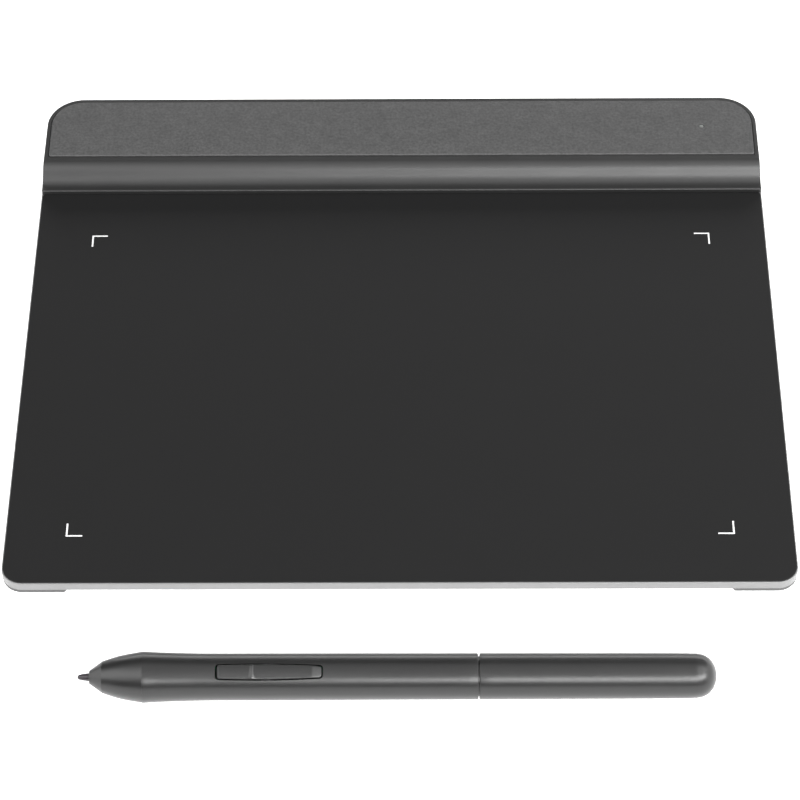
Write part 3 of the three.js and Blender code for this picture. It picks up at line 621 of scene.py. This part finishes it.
def stadium_ring(y, inset):
    return [
        (x - nx * inset, y, USB_Z + z - nz * inset)
        for x, z, nx, nz in stadium(USB_HALF_W, USB_HALF_H)
    ]


def port_cutter():
    rings = [
        stadium_ring(DEPTH + 1, -PORT_CLEARANCE - 0.3),
        stadium_ring(DEPTH - 0.05, -PORT_CLEARANCE - 0.12),
        stadium_ring(DEPTH - 0.35, -PORT_CLEARANCE),
        stadium_ring(DEPTH - PORT_DEPTH, -PORT_CLEARANCE),
    ]
    return mesh_object("port_cutter", *stack(rings), ON_TABLET)


def make_silver_frame():
    """The silver edge: a wall with a thin skirt under it, and the rim of the web that carries the sheet."""
    points = tablet_outline(0, side_ys=(WEB_END, WEB_END + 1.0))

    def web(x, y):
        return WEB_REACH if y < WEB_END + 0.5 else FRAME_WALL + 0.01

    rings = [ring(points, FRAME_WALL, SKIRT_TOP), ring(points, SKIRT_T, SKIRT_TOP)]
    rings.append(ring(points, SKIRT_T, FRAME_BOTTOM))
    for d, drop in reversed(quarter(FRAME_BOTTOM_EDGE_R)):
        rings.append(ring(points, d, FRAME_BOTTOM + drop))
    for d, drop in quarter(FRAME_TOP_EDGE_R):
        rings.append(ring(points, d, FRAME_TOP - drop))
    rings.append(ring(points, web, FRAME_TOP))
    rings.append(ring(points, web, FRAME_TOP - WEB_T))
    rings.append(ring(points, FRAME_WALL, FRAME_TOP - WEB_T))
    edge = mesh_object("silver_frame", *stack(rings, closed=True), ON_TABLET)
    cut_away(edge, port_cutter())
    smooth_shade(edge, math.radians(50))
    keep_flats_flat(edge)
    finish_piece(edge, SILVER, "tablet", "silver_edge", "edge_frame")


def screw_places():
    """Each case screw's centre in the tablet's own frame, in millimetres."""
    places = []
    for node in CASE_SCREWS:
        low, high = box_mm(node)
        places.append(((low.x + high.x) / 2, (low.y + high.y) / 2 - FRONT_Y))
    return places


def make_bottom_shell():
    z0, z1 = shell_low.z, shell_high.z
    points = tablet_outline(0)
    flange_top = z0 + SHELL_FLANGE_T
    rings = [ring(points, SHELL_INNER_INSET, z1), ring(points, SHELL_INNER_INSET, flange_top)]
    rings.append(ring(points, SHELL_FLANGE_INSET, flange_top))
    rings += [ring(points, SHELL_FLANGE_INSET + d, z0 + drop) for d, drop in quarter(SHELL_EDGE_R)]
    shell = mesh_object("underside_shell", *stack(rings), ON_TABLET)
    cutters = []
    for x, y in screw_places():
        cutters.append(post("sink", x, y, z0 - 0.05, z0 + SINK_DEPTH, SINK_R, SINK_NECK_R, ON_TABLET))
        cutters.append(post("hole", x, y, z0 + 0.3, z1 + 1, SINK_NECK_R, SINK_NECK_R, ON_TABLET))
    cut_away(shell, *cutters)
    smooth_shade(shell, math.radians(40))
    keep_flats_flat(shell)
    finish_piece(shell, SHELL, "tablet", "shell_plastic", "bottom_shell")


def inset_loop(points, insets):
    """A closed loop moved inward; insets gives each edge's distance, edge i running to point i + 1."""
    n = len(points)
    made = []
    for i in range(n):
        lines = []
        for j in (i - 1, i):
            a = Vector(points[j % n])
            b = Vector(points[(j + 1) % n])
            along = (b - a).normalized()
            inward = Vector((-along.y, along.x))
            lines.append((a + inward * insets[j % n], along))
        (p, u), (q, v) = lines
        cross = u.x * v.y - u.y * v.x
        if abs(cross) < 1e-6:
            made.append(tuple(q))
            continue
        w = q - p
        t = (w.x * v.y - w.y * v.x) / cross
        made.append(tuple(p + u * t))
    return made


def corner_pad(length, corner_r):
    """An L about the front right corner, which is at the origin, with a flag for each sloped end edge."""
    r = corner_r - FOOT_INSET
    inner = FOOT_INSET + FOOT_W
    bend = inner + FOOT_INNER_R
    points = [(-length, FOOT_INSET)]
    for k in range(ARC_STEPS + 1):
        a = math.radians(-90 + 90 * k / ARC_STEPS)
        points.append((-FOOT_INSET - r + r * math.cos(a), FOOT_INSET + r + r * math.sin(a)))
    points.append((-FOOT_INSET, length))
    points.append((-inner, length))
    for k in range(ARC_STEPS + 1):
        a = math.radians(-90 * k / ARC_STEPS)
        points.append((-bend + FOOT_INNER_R * math.cos(a), bend + FOOT_INNER_R * math.sin(a)))
    points.append((-length, inner))
    ends = {len(points) - 1, ARC_STEPS + 2}
    return points, ends


def make_foot(node, length, corner_r, quarter_turns, x, y):
    points, ends = corner_pad(length, corner_r)
    # (height, inset along the sides, inset at the sloped ends)
    levels = [
        (FOOT_TOP, 0.0, 0.0),
        (FOOT_TOP - 0.25, 0.0, 0.1),
        (0.2, 0.0, FOOT_END_SLOPE),
        (0.08, 0.05, FOOT_END_SLOPE + 0.05),
        (0.0, 0.18, FOOT_END_SLOPE + 0.2),
    ]
    turn = math.radians(90 * quarter_turns)
    c, s = round(math.cos(turn)), round(math.sin(turn))
    rings = []
    for z, side, end in levels:
        insets = [end if i in ends else side for i in range(len(points))]
        loop = inset_loop(points, insets)
        rings.append([(x + c * px - s * py, y + s * px + c * py, z) for px, py in loop])
    foot = mesh_object("rubber_" + node, *stack(rings), ON_TABLET)
    smooth_shade(foot, math.radians(35))
    finish_piece(foot, RUBBER, "tablet", "foot_rubber", node)


def make_feet():
    make_foot("foot_front_right", FRONT_FOOT_L, FRONT_CORNER_R, 0, HALF_W, 0)
    make_foot("foot_rear_right", REAR_FOOT_L, REAR_CORNER_R, 1, HALF_W, DEPTH)
    make_foot("foot_rear_left", REAR_FOOT_L, REAR_CORNER_R, 2, -HALF_W, DEPTH)
    make_foot("foot_front_left", FRONT_FOOT_L, FRONT_CORNER_R, 3, -HALF_W, 0)


def make_marks():
    """Four printed corner marks that open toward the middle of the active area."""
    half = MARK_STROKE / 2
    middle = (MARK_FRONT_Y + MARK_REAR_Y) / 2
    for name, sx, sy, y in (
        ("mark_front_left", -1, -1, MARK_FRONT_Y),
        ("mark_front_right", 1, -1, MARK_FRONT_Y),
        ("mark_rear_left", -1, 1, MARK_REAR_Y),
        ("mark_rear_right", 1, 1, MARK_REAR_Y),
    ):
        x = sx * MARK_HALF_SPAN
        corner = [
            (half, half),
            (half - MARK_LEG, half),
            (half - MARK_LEG, -half),
            (-half, -half),
            (-half, half - MARK_LEG),
            (half, half - MARK_LEG),
        ]
        square = [(x + sx * px, y + sy * py - middle) for px, py in corner]
        loop = [(px - MARK_TURN * py, middle + py + MARK_TURN * px) for px, py in square]
        rings = [[(px, py, PLATE_TOP + z) for px, py in loop] for z in (0.0, MARK_T)]
        mark = mesh_object(name, *stack(rings), ON_TABLET)
        bevel = mark.modifiers.new("round", "BEVEL")
        bevel.width = 0.05 * MM
        bevel.segments = 3
        bevel.affect = "EDGES"
        bevel.limit_method = "ANGLE"
        finish_piece(mark, MARK, "tablet", "surface_film")


# ------------------------------------------------------------------ tablet: bar

def cove_y_h():
    """(offset behind the lip, height) stations from the lip's flat over the cove to the shoulder."""
    stations = [(LIP_FLAT, LIP_H), (LIP_FLAT + 0.25, LIP_H - 0.03), (LIP_FLAT + 0.6, VALLEY_H + 0.03)]
    p = (
        (VALLEY_OFFSET, VALLEY_H),
        (VALLEY_OFFSET + COVE_PULL, VALLEY_H),
        (SHOULDER_OFFSET - SHOULDER_PULL, SHOULDER_H),
        (SHOULDER_OFFSET, SHOULDER_H),
    )
    for k in range(COVE_STEPS + 1):
        t = k / COVE_STEPS
        w = ((1 - t) ** 3, 3 * t * (1 - t) ** 2, 3 * t * t * (1 - t), t ** 3)
        stations.append(tuple(sum(wi * pi[axis] for wi, pi in zip(w, p)) for axis in (0, 1)))
    return stations


COVE = cove_y_h()


def bar_height(y):
    """The bar's top above the plate at a place along Y."""
    offset = y - BAR_FRONT
    if offset <= COVE[0][0]:
        return LIP_H
    if offset >= COVE[-1][0]:
        return SHOULDER_H
    for (a, ha), (b, hb) in zip(COVE, COVE[1:]):
        if offset <= b:
            return ha + (hb - ha) * (offset - a) / (b - a)
    return SHOULDER_H


def bar_edge_r(y):
    """The radius of the bar's outer edge: larger along the lip's front and at the back."""
    t = min(max((y - BAR_FRONT - 1) / BAR_EDGE_GAIN_RUN, 0), 1)
    return LIP_FRONT_EDGE_R if y < BAR_FRONT + 0.01 else BAR_EDGE_R + BAR_EDGE_R_GAIN * t


def pipe_hole(z0, z1):
    """The cutter for the hole that the light pipe stands in."""
    r = PIPE_R + LED_CLEARANCE
    return post("pipe_hole", PIPE_X, PIPE_Y, z0, z1, r, r, ON_TABLET)


def make_bar():
    """The raised bar: lip, cove and shoulder run right across, then a rim goes round a shallow recess."""
    recess_front = panel_low.y - FRONT_Y - PANEL_GAP
    cove_ys = [BAR_FRONT + offset for offset, _ in COVE]
    rim_ys = [recess_front + PANEL_FRONT_CORNER_R + PANEL_GAP, recess_front + 4, recess_front + 8]
    side_ys = cove_ys + [recess_front] + rim_ys
    points = outline(-HALF_W, HALF_W, BAR_FRONT, DEPTH, BAR_FRONT_CORNER_R, REAR_CORNER_R, side_ys)
    n = len(points)
    bottom = FRAME_TOP + BAR_GAP
    rings = [ring(points, BAR_BOTTOM_BEVEL, bottom), ring(points, 0, bottom + BAR_BOTTOM_BEVEL)]
    for k in range(EDGE_STEPS + 1):
        a = math.radians(90 * k / EDGE_STEPS)
        made = []
        for x, y, nx, ny in points:
            r = bar_edge_r(y)
            lean = BAR_DRAFT * bar_height(y) * abs(nx)
            d = lean + r * (1 - math.cos(a))
            py = y - ny * d
            made.append((x - nx * d, py, PLATE_TOP + bar_height(py) - r * (1 - math.sin(a))))
        rings.append(made)
    verts, faces = stack(rings, last_cap=False)
    top = (len(rings) - 1) * n
    sides = len(side_ys)
    arc = ARC_STEPS + 1
    right = top + arc
    left = right + sides + 2 * arc

    def right_at(j):
        return right + j

    def left_at(j):
        return left + sides - 1 - j

    front_left = [left + sides + k for k in range(arc)]
    front_right = [top + k for k in range(arc)]
    faces.append(tuple(front_left + front_right + [right_at(0), left_at(0)]))
    rows = len(cove_ys)
    for j in range(rows - 1):
        faces.append((right_at(j), right_at(j + 1), left_at(j + 1), left_at(j)))

    recess = outline(
        panel_low.x - PANEL_GAP,
        panel_high.x + PANEL_GAP,
        recess_front,
        panel_high.y - FRONT_Y + PANEL_GAP,
        PANEL_FRONT_CORNER_R,
        PANEL_CORNER_R + PANEL_GAP,
        rim_ys,
    )
    rim_z = PLATE_TOP + SHOULDER_H
    recess_rings = [
        ring(recess, -RECESS_EDGE, rim_z),
        ring(recess, 0, rim_z - RECESS_EDGE),
        ring(recess, 0, rim_z - RECESS_DEPTH),
    ]
    base = len(verts)
    m = len(recess)
    recess_verts, recess_faces = stack(recess_rings, first_cap=False)
    verts += recess_verts
    faces += [tuple(i + base for i in face) for face in recess_faces]
    shoulder_row = rows - 1
    rim_row = rows
    inner_right_arc = [base + k for k in range(arc)]
    inner_left_arc = [base + m - arc + k for k in range(arc)]
    shoulder_face = [left_at(shoulder_row), right_at(shoulder_row), right_at(rim_row)]
    shoulder_face += [inner_right_arc[0], inner_left_arc[-1], left_at(rim_row)]
    faces.append(tuple(shoulder_face))
    for k in range(ARC_STEPS):
        faces.append((right_at(rim_row), inner_right_arc[k + 1], inner_right_arc[k]))
        faces.append((left_at(rim_row), inner_left_arc[k + 1], inner_left_arc[k]))
    span = 2 * len(rim_ys) + 2 * arc
    outer_run = [right_at(rim_row) + k for k in range(span + 1)] + [left_at(rim_row)]
    inner_run = [inner_right_arc[-1] + k for k in range(span + 1)] + [inner_left_arc[0]]
    for k in range(len(outer_run) - 1):
        faces.append((outer_run[k], outer_run[k + 1], inner_run[k + 1], inner_run[k]))

    housing = mesh_object("pen_rest_bar", verts, faces, ON_TABLET)
    cavity_front = BAR_FRONT + SHOULDER_OFFSET - CAVITY_SETBACK
    cavity = outline(
        -HALF_W + BAR_WALL,
        HALF_W - BAR_WALL,
        cavity_front,
        DEPTH - BAR_WALL,
        CAVITY_FRONT_CORNER_R,
        REAR_CORNER_R - BAR_WALL,
    )
    cavity_rings = [ring(cavity, 0, bottom - 1), ring(cavity, 0, CEILING_Z)]
    hollow = mesh_object("hollow", *stack(cavity_rings), ON_TABLET)
    hole = pipe_hole(CEILING_Z - 1, rim_z + 1)
    cut_away(housing, hollow, port_cutter(), hole)
    smooth_shade(housing, math.radians(30))
    keep_flats_flat(housing)
    finish_piece(housing, BAR, "tablet", "bar_plastic", "bar_housing")


def make_panel():
    x0, y0, z0 = local(panel_low)
    x1, y1, z1 = local(panel_high)
    points = outline(x0, x1, y0, y1, PANEL_FRONT_CORNER_R, PANEL_CORNER_R)
    rings = [ring(points, 0.0, z0)]
    for k in range(EDGE_STEPS + 1):
        a = math.radians(90 * k / EDGE_STEPS)
        made = []
        for x, y, nx, ny in points:
            r = PANEL_EDGE_R + PANEL_FRONT_EDGE_GAIN * max(-ny, 0)
            d = r * (1 - math.cos(a))
            made.append((x - nx * d, y - ny * d, z1 - r * (1 - math.sin(a))))
        rings.append(made)
    panel = mesh_object("top_panel", *stack(rings), ON_TABLET)
    cut_away(panel, pipe_hole(z0 - 1, z1 + 1))
    smooth_shade(panel, math.radians(50))
    keep_flats_flat(panel)
    finish_piece(panel, PANEL, "tablet", "panel_plastic", "panel_insert")


def upright(name, x, y, profile):
    """A turned upright body of the tablet from (z, radius) stations."""
    turn = Matrix.Translation((x, y, 0)) @ Matrix.Rotation(-math.pi / 2, 4, "Y")
    return lathe(name, profile, ON_TABLET @ turn, SMALL_LATHE_SEGMENTS)


def make_light_pipe():
    r = PIPE_R
    z0, z1 = pipe_low.z, pipe_high.z
    profile = [(z0, 0), (z0, r * 0.9), (z0 + 0.1, r), (z1 - 0.12, r)]
    profile += [(z1 - 0.04, r * 0.93), (z1, r * 0.7), (z1, 0)]
    pipe = upright("status_lens", PIPE_X, PIPE_Y, profile)
    finish_piece(pipe, LENS, "tablet", "clear_plastic", "light_pipe")


def make_usb():
    y0 = usb_low.y - FRONT_Y
    y1 = usb_high.y - FRONT_Y
    rings = [
        stadium_ring(y0, 0.12),
        stadium_ring(y0 + 0.12, 0.0),
        stadium_ring(y1 - 0.14, 0.0),
        stadium_ring(y1 - 0.04, 0.05),
        stadium_ring(y1, 0.15),
        stadium_ring(y1 - 0.04, 0.25),
        stadium_ring(y1 - 0.14, USB_WALL),
        stadium_ring(y0 + USB_WALL, USB_WALL),
    ]
    shell = mesh_object("usb_sleeve", *stack(rings), ON_TABLET)
    smooth_shade(shell, math.radians(40))
    finish_piece(shell, STEEL, "tablet", "steel", "usb_shell")

    tongue_low, tongue_high = box_mm("usb_tongue")
    tip = tongue_high.y - FRONT_Y
    back = tongue_low.y - FRONT_Y
    core = outline(-TONGUE_HALF_W, TONGUE_HALF_W, back + 1.0, tip, 0.1, 0.5, steps=6)
    inner_t = TONGUE_HALF_T - TONGUE_BEVEL
    levels = [(-TONGUE_HALF_T, TONGUE_BEVEL), (-inner_t, 0.0), (inner_t, 0.0), (TONGUE_HALF_T, TONGUE_BEVEL)]
    tongue_rings = [ring(core, d, USB_Z + z) for z, d in levels]
    tongue = mesh_object("usb_tongue_blade", *stack(tongue_rings), ON_TABLET)
    smooth_shade(tongue, math.radians(40))
    finish_piece(tongue, DARK, "tablet", "inner_plastic")

    verts = []
    faces = []
    w = CONTACT_HALF_W
    for side in (-1, 1):
        z = USB_Z + side * CONTACT_Z
        for k in range(CONTACT_COUNT):
            x = (k - (CONTACT_COUNT - 1) / 2) * CONTACT_PITCH
            loop = outline(x - w, x + w, tip - CONTACT_BACK, tip - CONTACT_FRONT, 0.03, 0.08, steps=2)
            part, part_faces = stack([ring(loop, 0, z - CONTACT_HALF_T), ring(loop, 0, z + CONTACT_HALF_T)])
            base = len(verts)
            verts += part
            faces += [tuple(i + base for i in face) for face in part_faces]
    contacts = mesh_object("usb_contacts", verts, faces, ON_TABLET)
    smooth_shade(contacts, math.radians(30))
    finish_piece(contacts, GOLD, "tablet", "steel")


def make_case_screws():
    """Countersunk screws with a cross recess, head down."""
    for node, (x, y) in zip(CASE_SCREWS, screw_places()):
        low, high = box_mm(node)
        z0, z1 = low.z, high.z
        profile = [(z0, 0), (z0, 1.62), (z0 + 0.04, 1.72), (z0 + 0.1, 1.75), (z0 + 0.5, 0.8)]
        profile += [(z0 + 0.5 + THREAD_PITCH * k, 0.78 - 0.1 * (k % 2)) for k in range(THREAD_TURNS)]
        profile += [(z1, 0.5), (z1, 0)]
        screw = upright("driven_" + node, x, y, profile)
        arms = []
        for half_x, half_y in ((CROSS_ARM, CROSS_HALF_T), (CROSS_HALF_T, CROSS_ARM)):
            spans = (x - half_x, x + half_x, y - half_y, y + half_y, z0 - 1, z0 + CROSS_DEPTH)
            arms.append(block("arm", *spans, ON_TABLET))
        cut_away(screw, *arms)
        smooth_shade(screw, math.radians(35))
        finish_piece(screw, STEEL, "tablet", "steel", node)


# ------------------------------------------------------------------ pen

def make_nose():
    outside = [(2.8, 1.5), (2.86, 1.6), (3.05, 1.72)]
    outside += curve_through([(3.05, 1.72), (5.8, 3.71)], 4)[1:]
    outside += curve_through([(5.8, 3.71), (9.25, 4.81), (12, 5.4), (FLARE_X - 0.03, 5.95)], 6)[1:]
    outside += [(FLARE_X, 5.948)]
    inside = [(FLARE_X, 4.3), (20, 4.3), (20, 3.6), (12.5, 3.6)]
    inside += [(8.2, 3), (7.6, 1.15), (2.9, 1.15), (2.8, 1.2)]
    nose = lathe("nose_tip", outside + inside, ON_PEN, closed=True, crease=math.radians(9))
    finish_piece(nose, PEN_BODY, "pen", "pen_plastic", "nose_cone")


def rocker_outline(grow, xs):
    """Points (x, y, normal x, normal y) of the rocker's bowed plan, grown by a clearance."""
    end = ROCKER_END_W / 2 + grow
    bow = (ROCKER_MID_W - ROCKER_END_W) / 2
    r = ROCKER_CORNER_R + grow / 2
    left = ROCKER_X - ROCKER_L / 2 - grow
    right = ROCKER_X + ROCKER_L / 2 + grow
    reach = ROCKER_L / 2 + grow - r

    def half_width(x):
        t = (x - ROCKER_X) / reach
        return end + bow * (1 - t * t) - ROCKER_TAPER * t

    points = [(x, -half_width(x), 0, -1) for x in xs]
    wide = end + ROCKER_TAPER - r
    slim = end - ROCKER_TAPER - r
    corners = ((right - r, -slim, -90), (right - r, slim, 0), (left + r, wide, 90), (left + r, -wide, 180))
    arcs = []
    for cx, cy, start in corners:
        arc = []
        for k in range(ROCKER_CORNER_STEPS + 1):
            a = math.radians(start + 90 * k / ROCKER_CORNER_STEPS)
            arc.append((cx + r * math.cos(a), cy + r * math.sin(a), math.cos(a), math.sin(a)))
        arcs.append(arc)
    upper = [(x, half_width(x), 0, 1) for x in reversed(xs)]
    return points + arcs[0] + arcs[1] + upper + arcs[2] + arcs[3]


RIDGE_X = 40.5
CROWN_R = 5.7
RIDGE_R = 5.9
END_R = 5.2
FRONT_RAMP_X = ROCKER_X - 11.7
REAR_RAMP_X = ROCKER_X + 9.9


def rocker_side_xs():
    low = ROCKER_X - ROCKER_L / 2 + ROCKER_CORNER_R + 0.15
    high = ROCKER_X + ROCKER_L / 2 - ROCKER_CORNER_R - 0.15
    xs = [low + (high - low) * k / 24 for k in range(25)]
    xs += [RIDGE_X + d for d in (-0.75, -0.55, -0.4, -0.25, -0.12, 0, 0.12, 0.25, 0.4, 0.55, 0.75)]
    xs += [REAR_RAMP_X - 0.3, REAR_RAMP_X, REAR_RAMP_X + 0.3]
    return sorted(set(round(x, 4) for x in xs))


def crown_r(x, y):
    """The rocker face's radius about the pen's axis: a low crown, a ramp at each end and a ridge."""
    r = CROWN_R
    left_end = ROCKER_X - ROCKER_L / 2
    right_end = ROCKER_X + ROCKER_L / 2
    if x < FRONT_RAMP_X:
        r -= (CROWN_R - END_R) * (FRONT_RAMP_X - x) / (FRONT_RAMP_X - left_end)
    if x > REAR_RAMP_X:
        r -= (CROWN_R - END_R) * (x - REAR_RAMP_X) / (right_end - REAR_RAMP_X)
    flare = 0.45 + 0.5 * max(-y, 0) / (ROCKER_MID_W / 2)
    t = abs(x - RIDGE_X) / flare
    if t < 1:
        r += (RIDGE_R - CROWN_R) * (1 - t * t * (3 - 2 * t))
    return r


def crown_z(x, y):
    return math.sqrt(crown_r(x, y) ** 2 - y * y)


def make_rocker():
    points = rocker_outline(0, rocker_side_xs())
    rings = [ring(points, 0, ROCKER_UNDERSIDE)]
    for d, drop in quarter(ROCKER_EDGE_R):
        rings.append([(x, y, z - drop) for x, y, z in ring(points, d, crown_z)])
    rim = ring(points, ROCKER_EDGE_R, crown_z)
    for share in (0.85, 0.68, 0.5, 0.32, 0.15, 0.0):
        rings.append([(x, y * share, crown_z(x, y * share)) for x, y, _ in rim])
    verts, faces = stack(rings, last_cap=False)
    rocker = mesh_object("rocker_key", verts, faces, ON_PEN)
    smooth_shade(rocker, math.radians(40))
    finish_piece(rocker, PEN_BODY, "rocker", "pen_plastic", "rocker_button")


def make_front_barrel():
    start = FLARE_X + 0.004
    outside = [(start, 5.948)]
    grip = [(start + 0.03, 5.95), (19, 5.745), (28.25, 5.48), (42.2, 5.45), (60, 5.42), (76, 5.39)]
    outside += curve_through(grip + [(SEAM_X - 0.25, 5.36)], 6)
    outside += [(SEAM_X - 0.1, 5.34), (SEAM_X - 0.03, 5.28), (SEAM_X, 5.18)]
    inside = [(SEAM_X, BARREL_BORE_R), (start, BARREL_BORE_R)]
    barrel = lathe("grip_barrel", outside + inside, ON_PEN, closed=True, crease=math.radians(20))
    slot = rocker_outline(ROCKER_GAP, rocker_side_xs())
    rings = [ring(slot, 0, ROCKER_UNDERSIDE - 1), ring(slot, 0, 8.0)]
    cut_away(barrel, mesh_object("slot", *stack(rings), ON_PEN))
    smooth_shade(barrel, math.radians(25))
    finish_piece(barrel, PEN_BODY, "pen", "pen_plastic", "front_barrel")


def make_rear_barrel():
    start = SEAM_X + SEAM_GAP
    floor_x = SEAM_X + 0.01
    outside = [(floor_x, SEAM_FLOOR_R), (start, SEAM_FLOOR_R)]
    outside += [(start, 5.18), (start + 0.03, 5.28), (start + 0.1, 5.34)]
    side = [(start + 0.25, 5.36), (108, 5.33), (123.2, 5.3), (131, 5.28), (138.5, 5.25), (143, 5.18)]
    outside += curve_through(side)
    dome = [(143, 5.18), (144.5, 4.89), (145.7, 4.28), (146.6, 3.42), (147.3, 2.2), (147.6, 1.25)]
    outside += curve_through(dome)[1:]
    outside += [(147.69, 0.6), (147.7, 0)]
    inside = [(146, 0), (143.6, 3), (141, 4.4), (start, 4.4), (floor_x, 4.45)]
    barrel = lathe("rear_cap_barrel", outside + inside, ON_PEN, closed=True, crease=math.radians(25))
    finish_piece(barrel, PEN_BODY, "pen", "pen_plastic", "rear_barrel")


def make_nib():
    tip = [(0, 0), (0.02, 0.14), (0.06, 0.25), (0.12, 0.35), (0.25, 0.47), (0.45, 0.58)]
    shank = curve_through([(0.45, 0.58), (1.1, 0.75), (2.0, 0.88), (3, 0.98)], 5)[1:]
    rest = [(3.6, 0.98), (3.72, 0.9), (3.8, 0.8), (22.55, 0.8), (22.6, 0.75), (22.6, 0)]
    nib = lathe("nib_point", tip + shank + rest, ON_PEN, 64, crease=math.radians(40))
    finish_piece(nib, NIB, "nib", "nib_plastic", "nib")


# ------------------------------------------------------------------ the pieces that stay as they are

KEPT_NODES = {
    "sensor_board": CIRCUIT,
    "shield_foil": FOIL,
    "controller_board": CIRCUIT,
    "controller_chip": DARK,
    "signal_chip": DARK,
    "memory_chip": DARK,
    "crystal": STEEL,
    "board_connector": IVORY,
    "sensor_connector": IVORY,
    "sensor_flex": FLEX,
    "usb_tongue": DARK,
    "status_led": IVORY,
    "board_screw_1": STEEL,
    "board_screw_2": STEEL,
    "nib_holder": NIB,
    "sensor_pad": SILICONE,
    "coupling_sleeve": DARK,
    "rocker_pin": STEEL,
    "rocker_bracket": STEEL,
    "switch_front": DARK,
    "switch_rear": DARK,
    "pen_board": CIRCUIT,
    "pen_chip": DARK,
    "board_carrier": DARK,
    "ferrite_core": FERRITE,
    "coil_winding": COPPER,
    "sensor_housing": DARK,
    "pressure_sensor": IVORY,
}


def dress_kept_nodes():
    for name, look in KEPT_NODES.items():
        obj = frame["nodes"][name]
        obj.data.materials.clear()
        obj.data.materials.append(look)


# ------------------------------------------------------------------ floor, light and camera

def area_light(name, place, target, width, height, power):
    data = bpy.data.lights.new(name, "AREA")
    data.shape = "RECTANGLE"
    data.size = width
    data.size_y = height
    data.energy = power
    light = bpy.data.objects.new(name, data)
    scene.collection.objects.link(light)
    light.location = place
    light.rotation_mode = "QUATERNION"
    light.rotation_quaternion = (Vector(target) - Vector(place)).to_track_quat("-Z", "Y")


def around(azimuth, elevation, distance):
    """A place at that bearing from the middle of the set: 0 is in front, 90 to the right."""
    a, e = math.radians(azimuth), math.radians(elevation)
    return (
        distance * math.sin(a) * math.cos(e),
        -distance * math.cos(a) * math.cos(e),
        distance * math.sin(e),
    )


FLOOR_HALF = 3.0
FLOOR_Z = -0.0002
FLOOR_GREY = 0.80
FLOOR_GLOW = 0.62
WORLD_STRENGTH = 0.08


def make_floor():
    verts = [(x * FLOOR_HALF, y * FLOOR_HALF, FLOOR_Z) for x, y in ((-1, -1), (1, -1), (1, 1), (-1, 1))]
    mesh = bpy.data.meshes.new("floor")
    mesh.from_pydata(verts, [], [(0, 1, 2, 3)])
    floor = bpy.data.objects.new("floor", mesh)
    scene.collection.objects.link(floor)
    made, nodes, _ = material("floor")
    shader = nodes["Principled BSDF"]
    socket(shader, "Base Color", (*grey(FLOOR_GREY), 1))
    socket(shader, "Roughness", 0.9)
    socket(shader, "Specular IOR Level", 0.0)
    socket(shader, "Emission Color", (1, 1, 1, 1))
    socket(shader, "Emission Strength", FLOOR_GLOW)
    mesh.materials.append(made)


def make_world(strength):
    world = bpy.data.worlds.new("studio")
    world.use_nodes = True
    back = world.node_tree.nodes["Background"]
    back.inputs["Color"].default_value = (1, 1, 1, 1)
    back.inputs["Strength"].default_value = strength
    scene.world = world


def soft_panel(name, place, target, width, height, radiance):
    """A soft light whose face has the given radiance."""
    area_light(name, place, target, width, height, radiance * math.pi * width * height)


def make_lights():
    aim = (0, 0, 0)
    soft_panel("overhead", (0.0, -0.30, 1.5), (0.0, -0.30, 0.0), 3.2, 1.96, 1.15)
    soft_panel("front_key", around(30, 35, 1.3), aim, 1.3, 0.36, 18.0)
    soft_panel("left_box", around(-58, 48, 1.4), aim, 1.4, 1.0, 2.7)
    soft_panel("left_wall", (-1.6, -0.1, 0.6), (0, -0.1, 0.2), 2.2, 1.1, 2.6)
    soft_panel("right_wall", (1.6, -0.1, 0.6), (0, -0.1, 0.2), 2.2, 1.1, 2.4)
    soft_panel("right_box", around(78, 52, 1.4), aim, 1.0, 0.9, 3.0)
    soft_panel("back_right", around(150, 42, 1.5), aim, 0.9, 0.6, 0.6)
    soft_panel("low_back", (0.8, 1.6, 0.38), (0.8, 0, 0.2), 3.2, 0.40, 5.0)


CAMERA_PLACE = (0.006947, -0.527556, 0.604322)
CAMERA_ELEVATION = 0.85521
CAMERA_YAW = 0.013425
CAMERA_ROLL = -0.012833
CAMERA_LENS = 143.70
SENSOR_W = 36.0


def make_camera():
    data = bpy.data.cameras.new("camera")
    data.lens = CAMERA_LENS
    data.sensor_width = SENSOR_W
    camera = bpy.data.objects.new("camera", data)
    scene.collection.objects.link(camera)
    e, yaw, roll = CAMERA_ELEVATION, CAMERA_YAW, CAMERA_ROLL
    right = Vector((math.cos(yaw), math.sin(yaw), 0))
    up = Vector((-math.sin(yaw) * math.sin(e), math.cos(yaw) * math.sin(e), math.cos(e)))
    x_axis = math.cos(roll) * right + math.sin(roll) * up
    y_axis = -math.sin(roll) * right + math.cos(roll) * up
    z_axis = x_axis.cross(y_axis)
    turn = Matrix((x_axis, y_axis, z_axis)).transposed().to_4x4()
    camera.matrix_world = Matrix.Translation(CAMERA_PLACE) @ turn
    data.clip_start = 0.01
    data.clip_end = 20
    scene.camera = camera


# ------------------------------------------------------------------ make it all

make_film()
make_silver_frame()
make_bottom_shell()
make_feet()
make_marks()
make_bar()
make_panel()
make_light_pipe()
make_usb()
make_case_screws()
make_nose()
make_front_barrel()
make_rear_barrel()
make_rocker()
make_nib()
dress_kept_nodes()
make_floor()
make_world(WORLD_STRENGTH)
make_lights()
make_camera()
scene.view_settings.view_transform = "Standard"
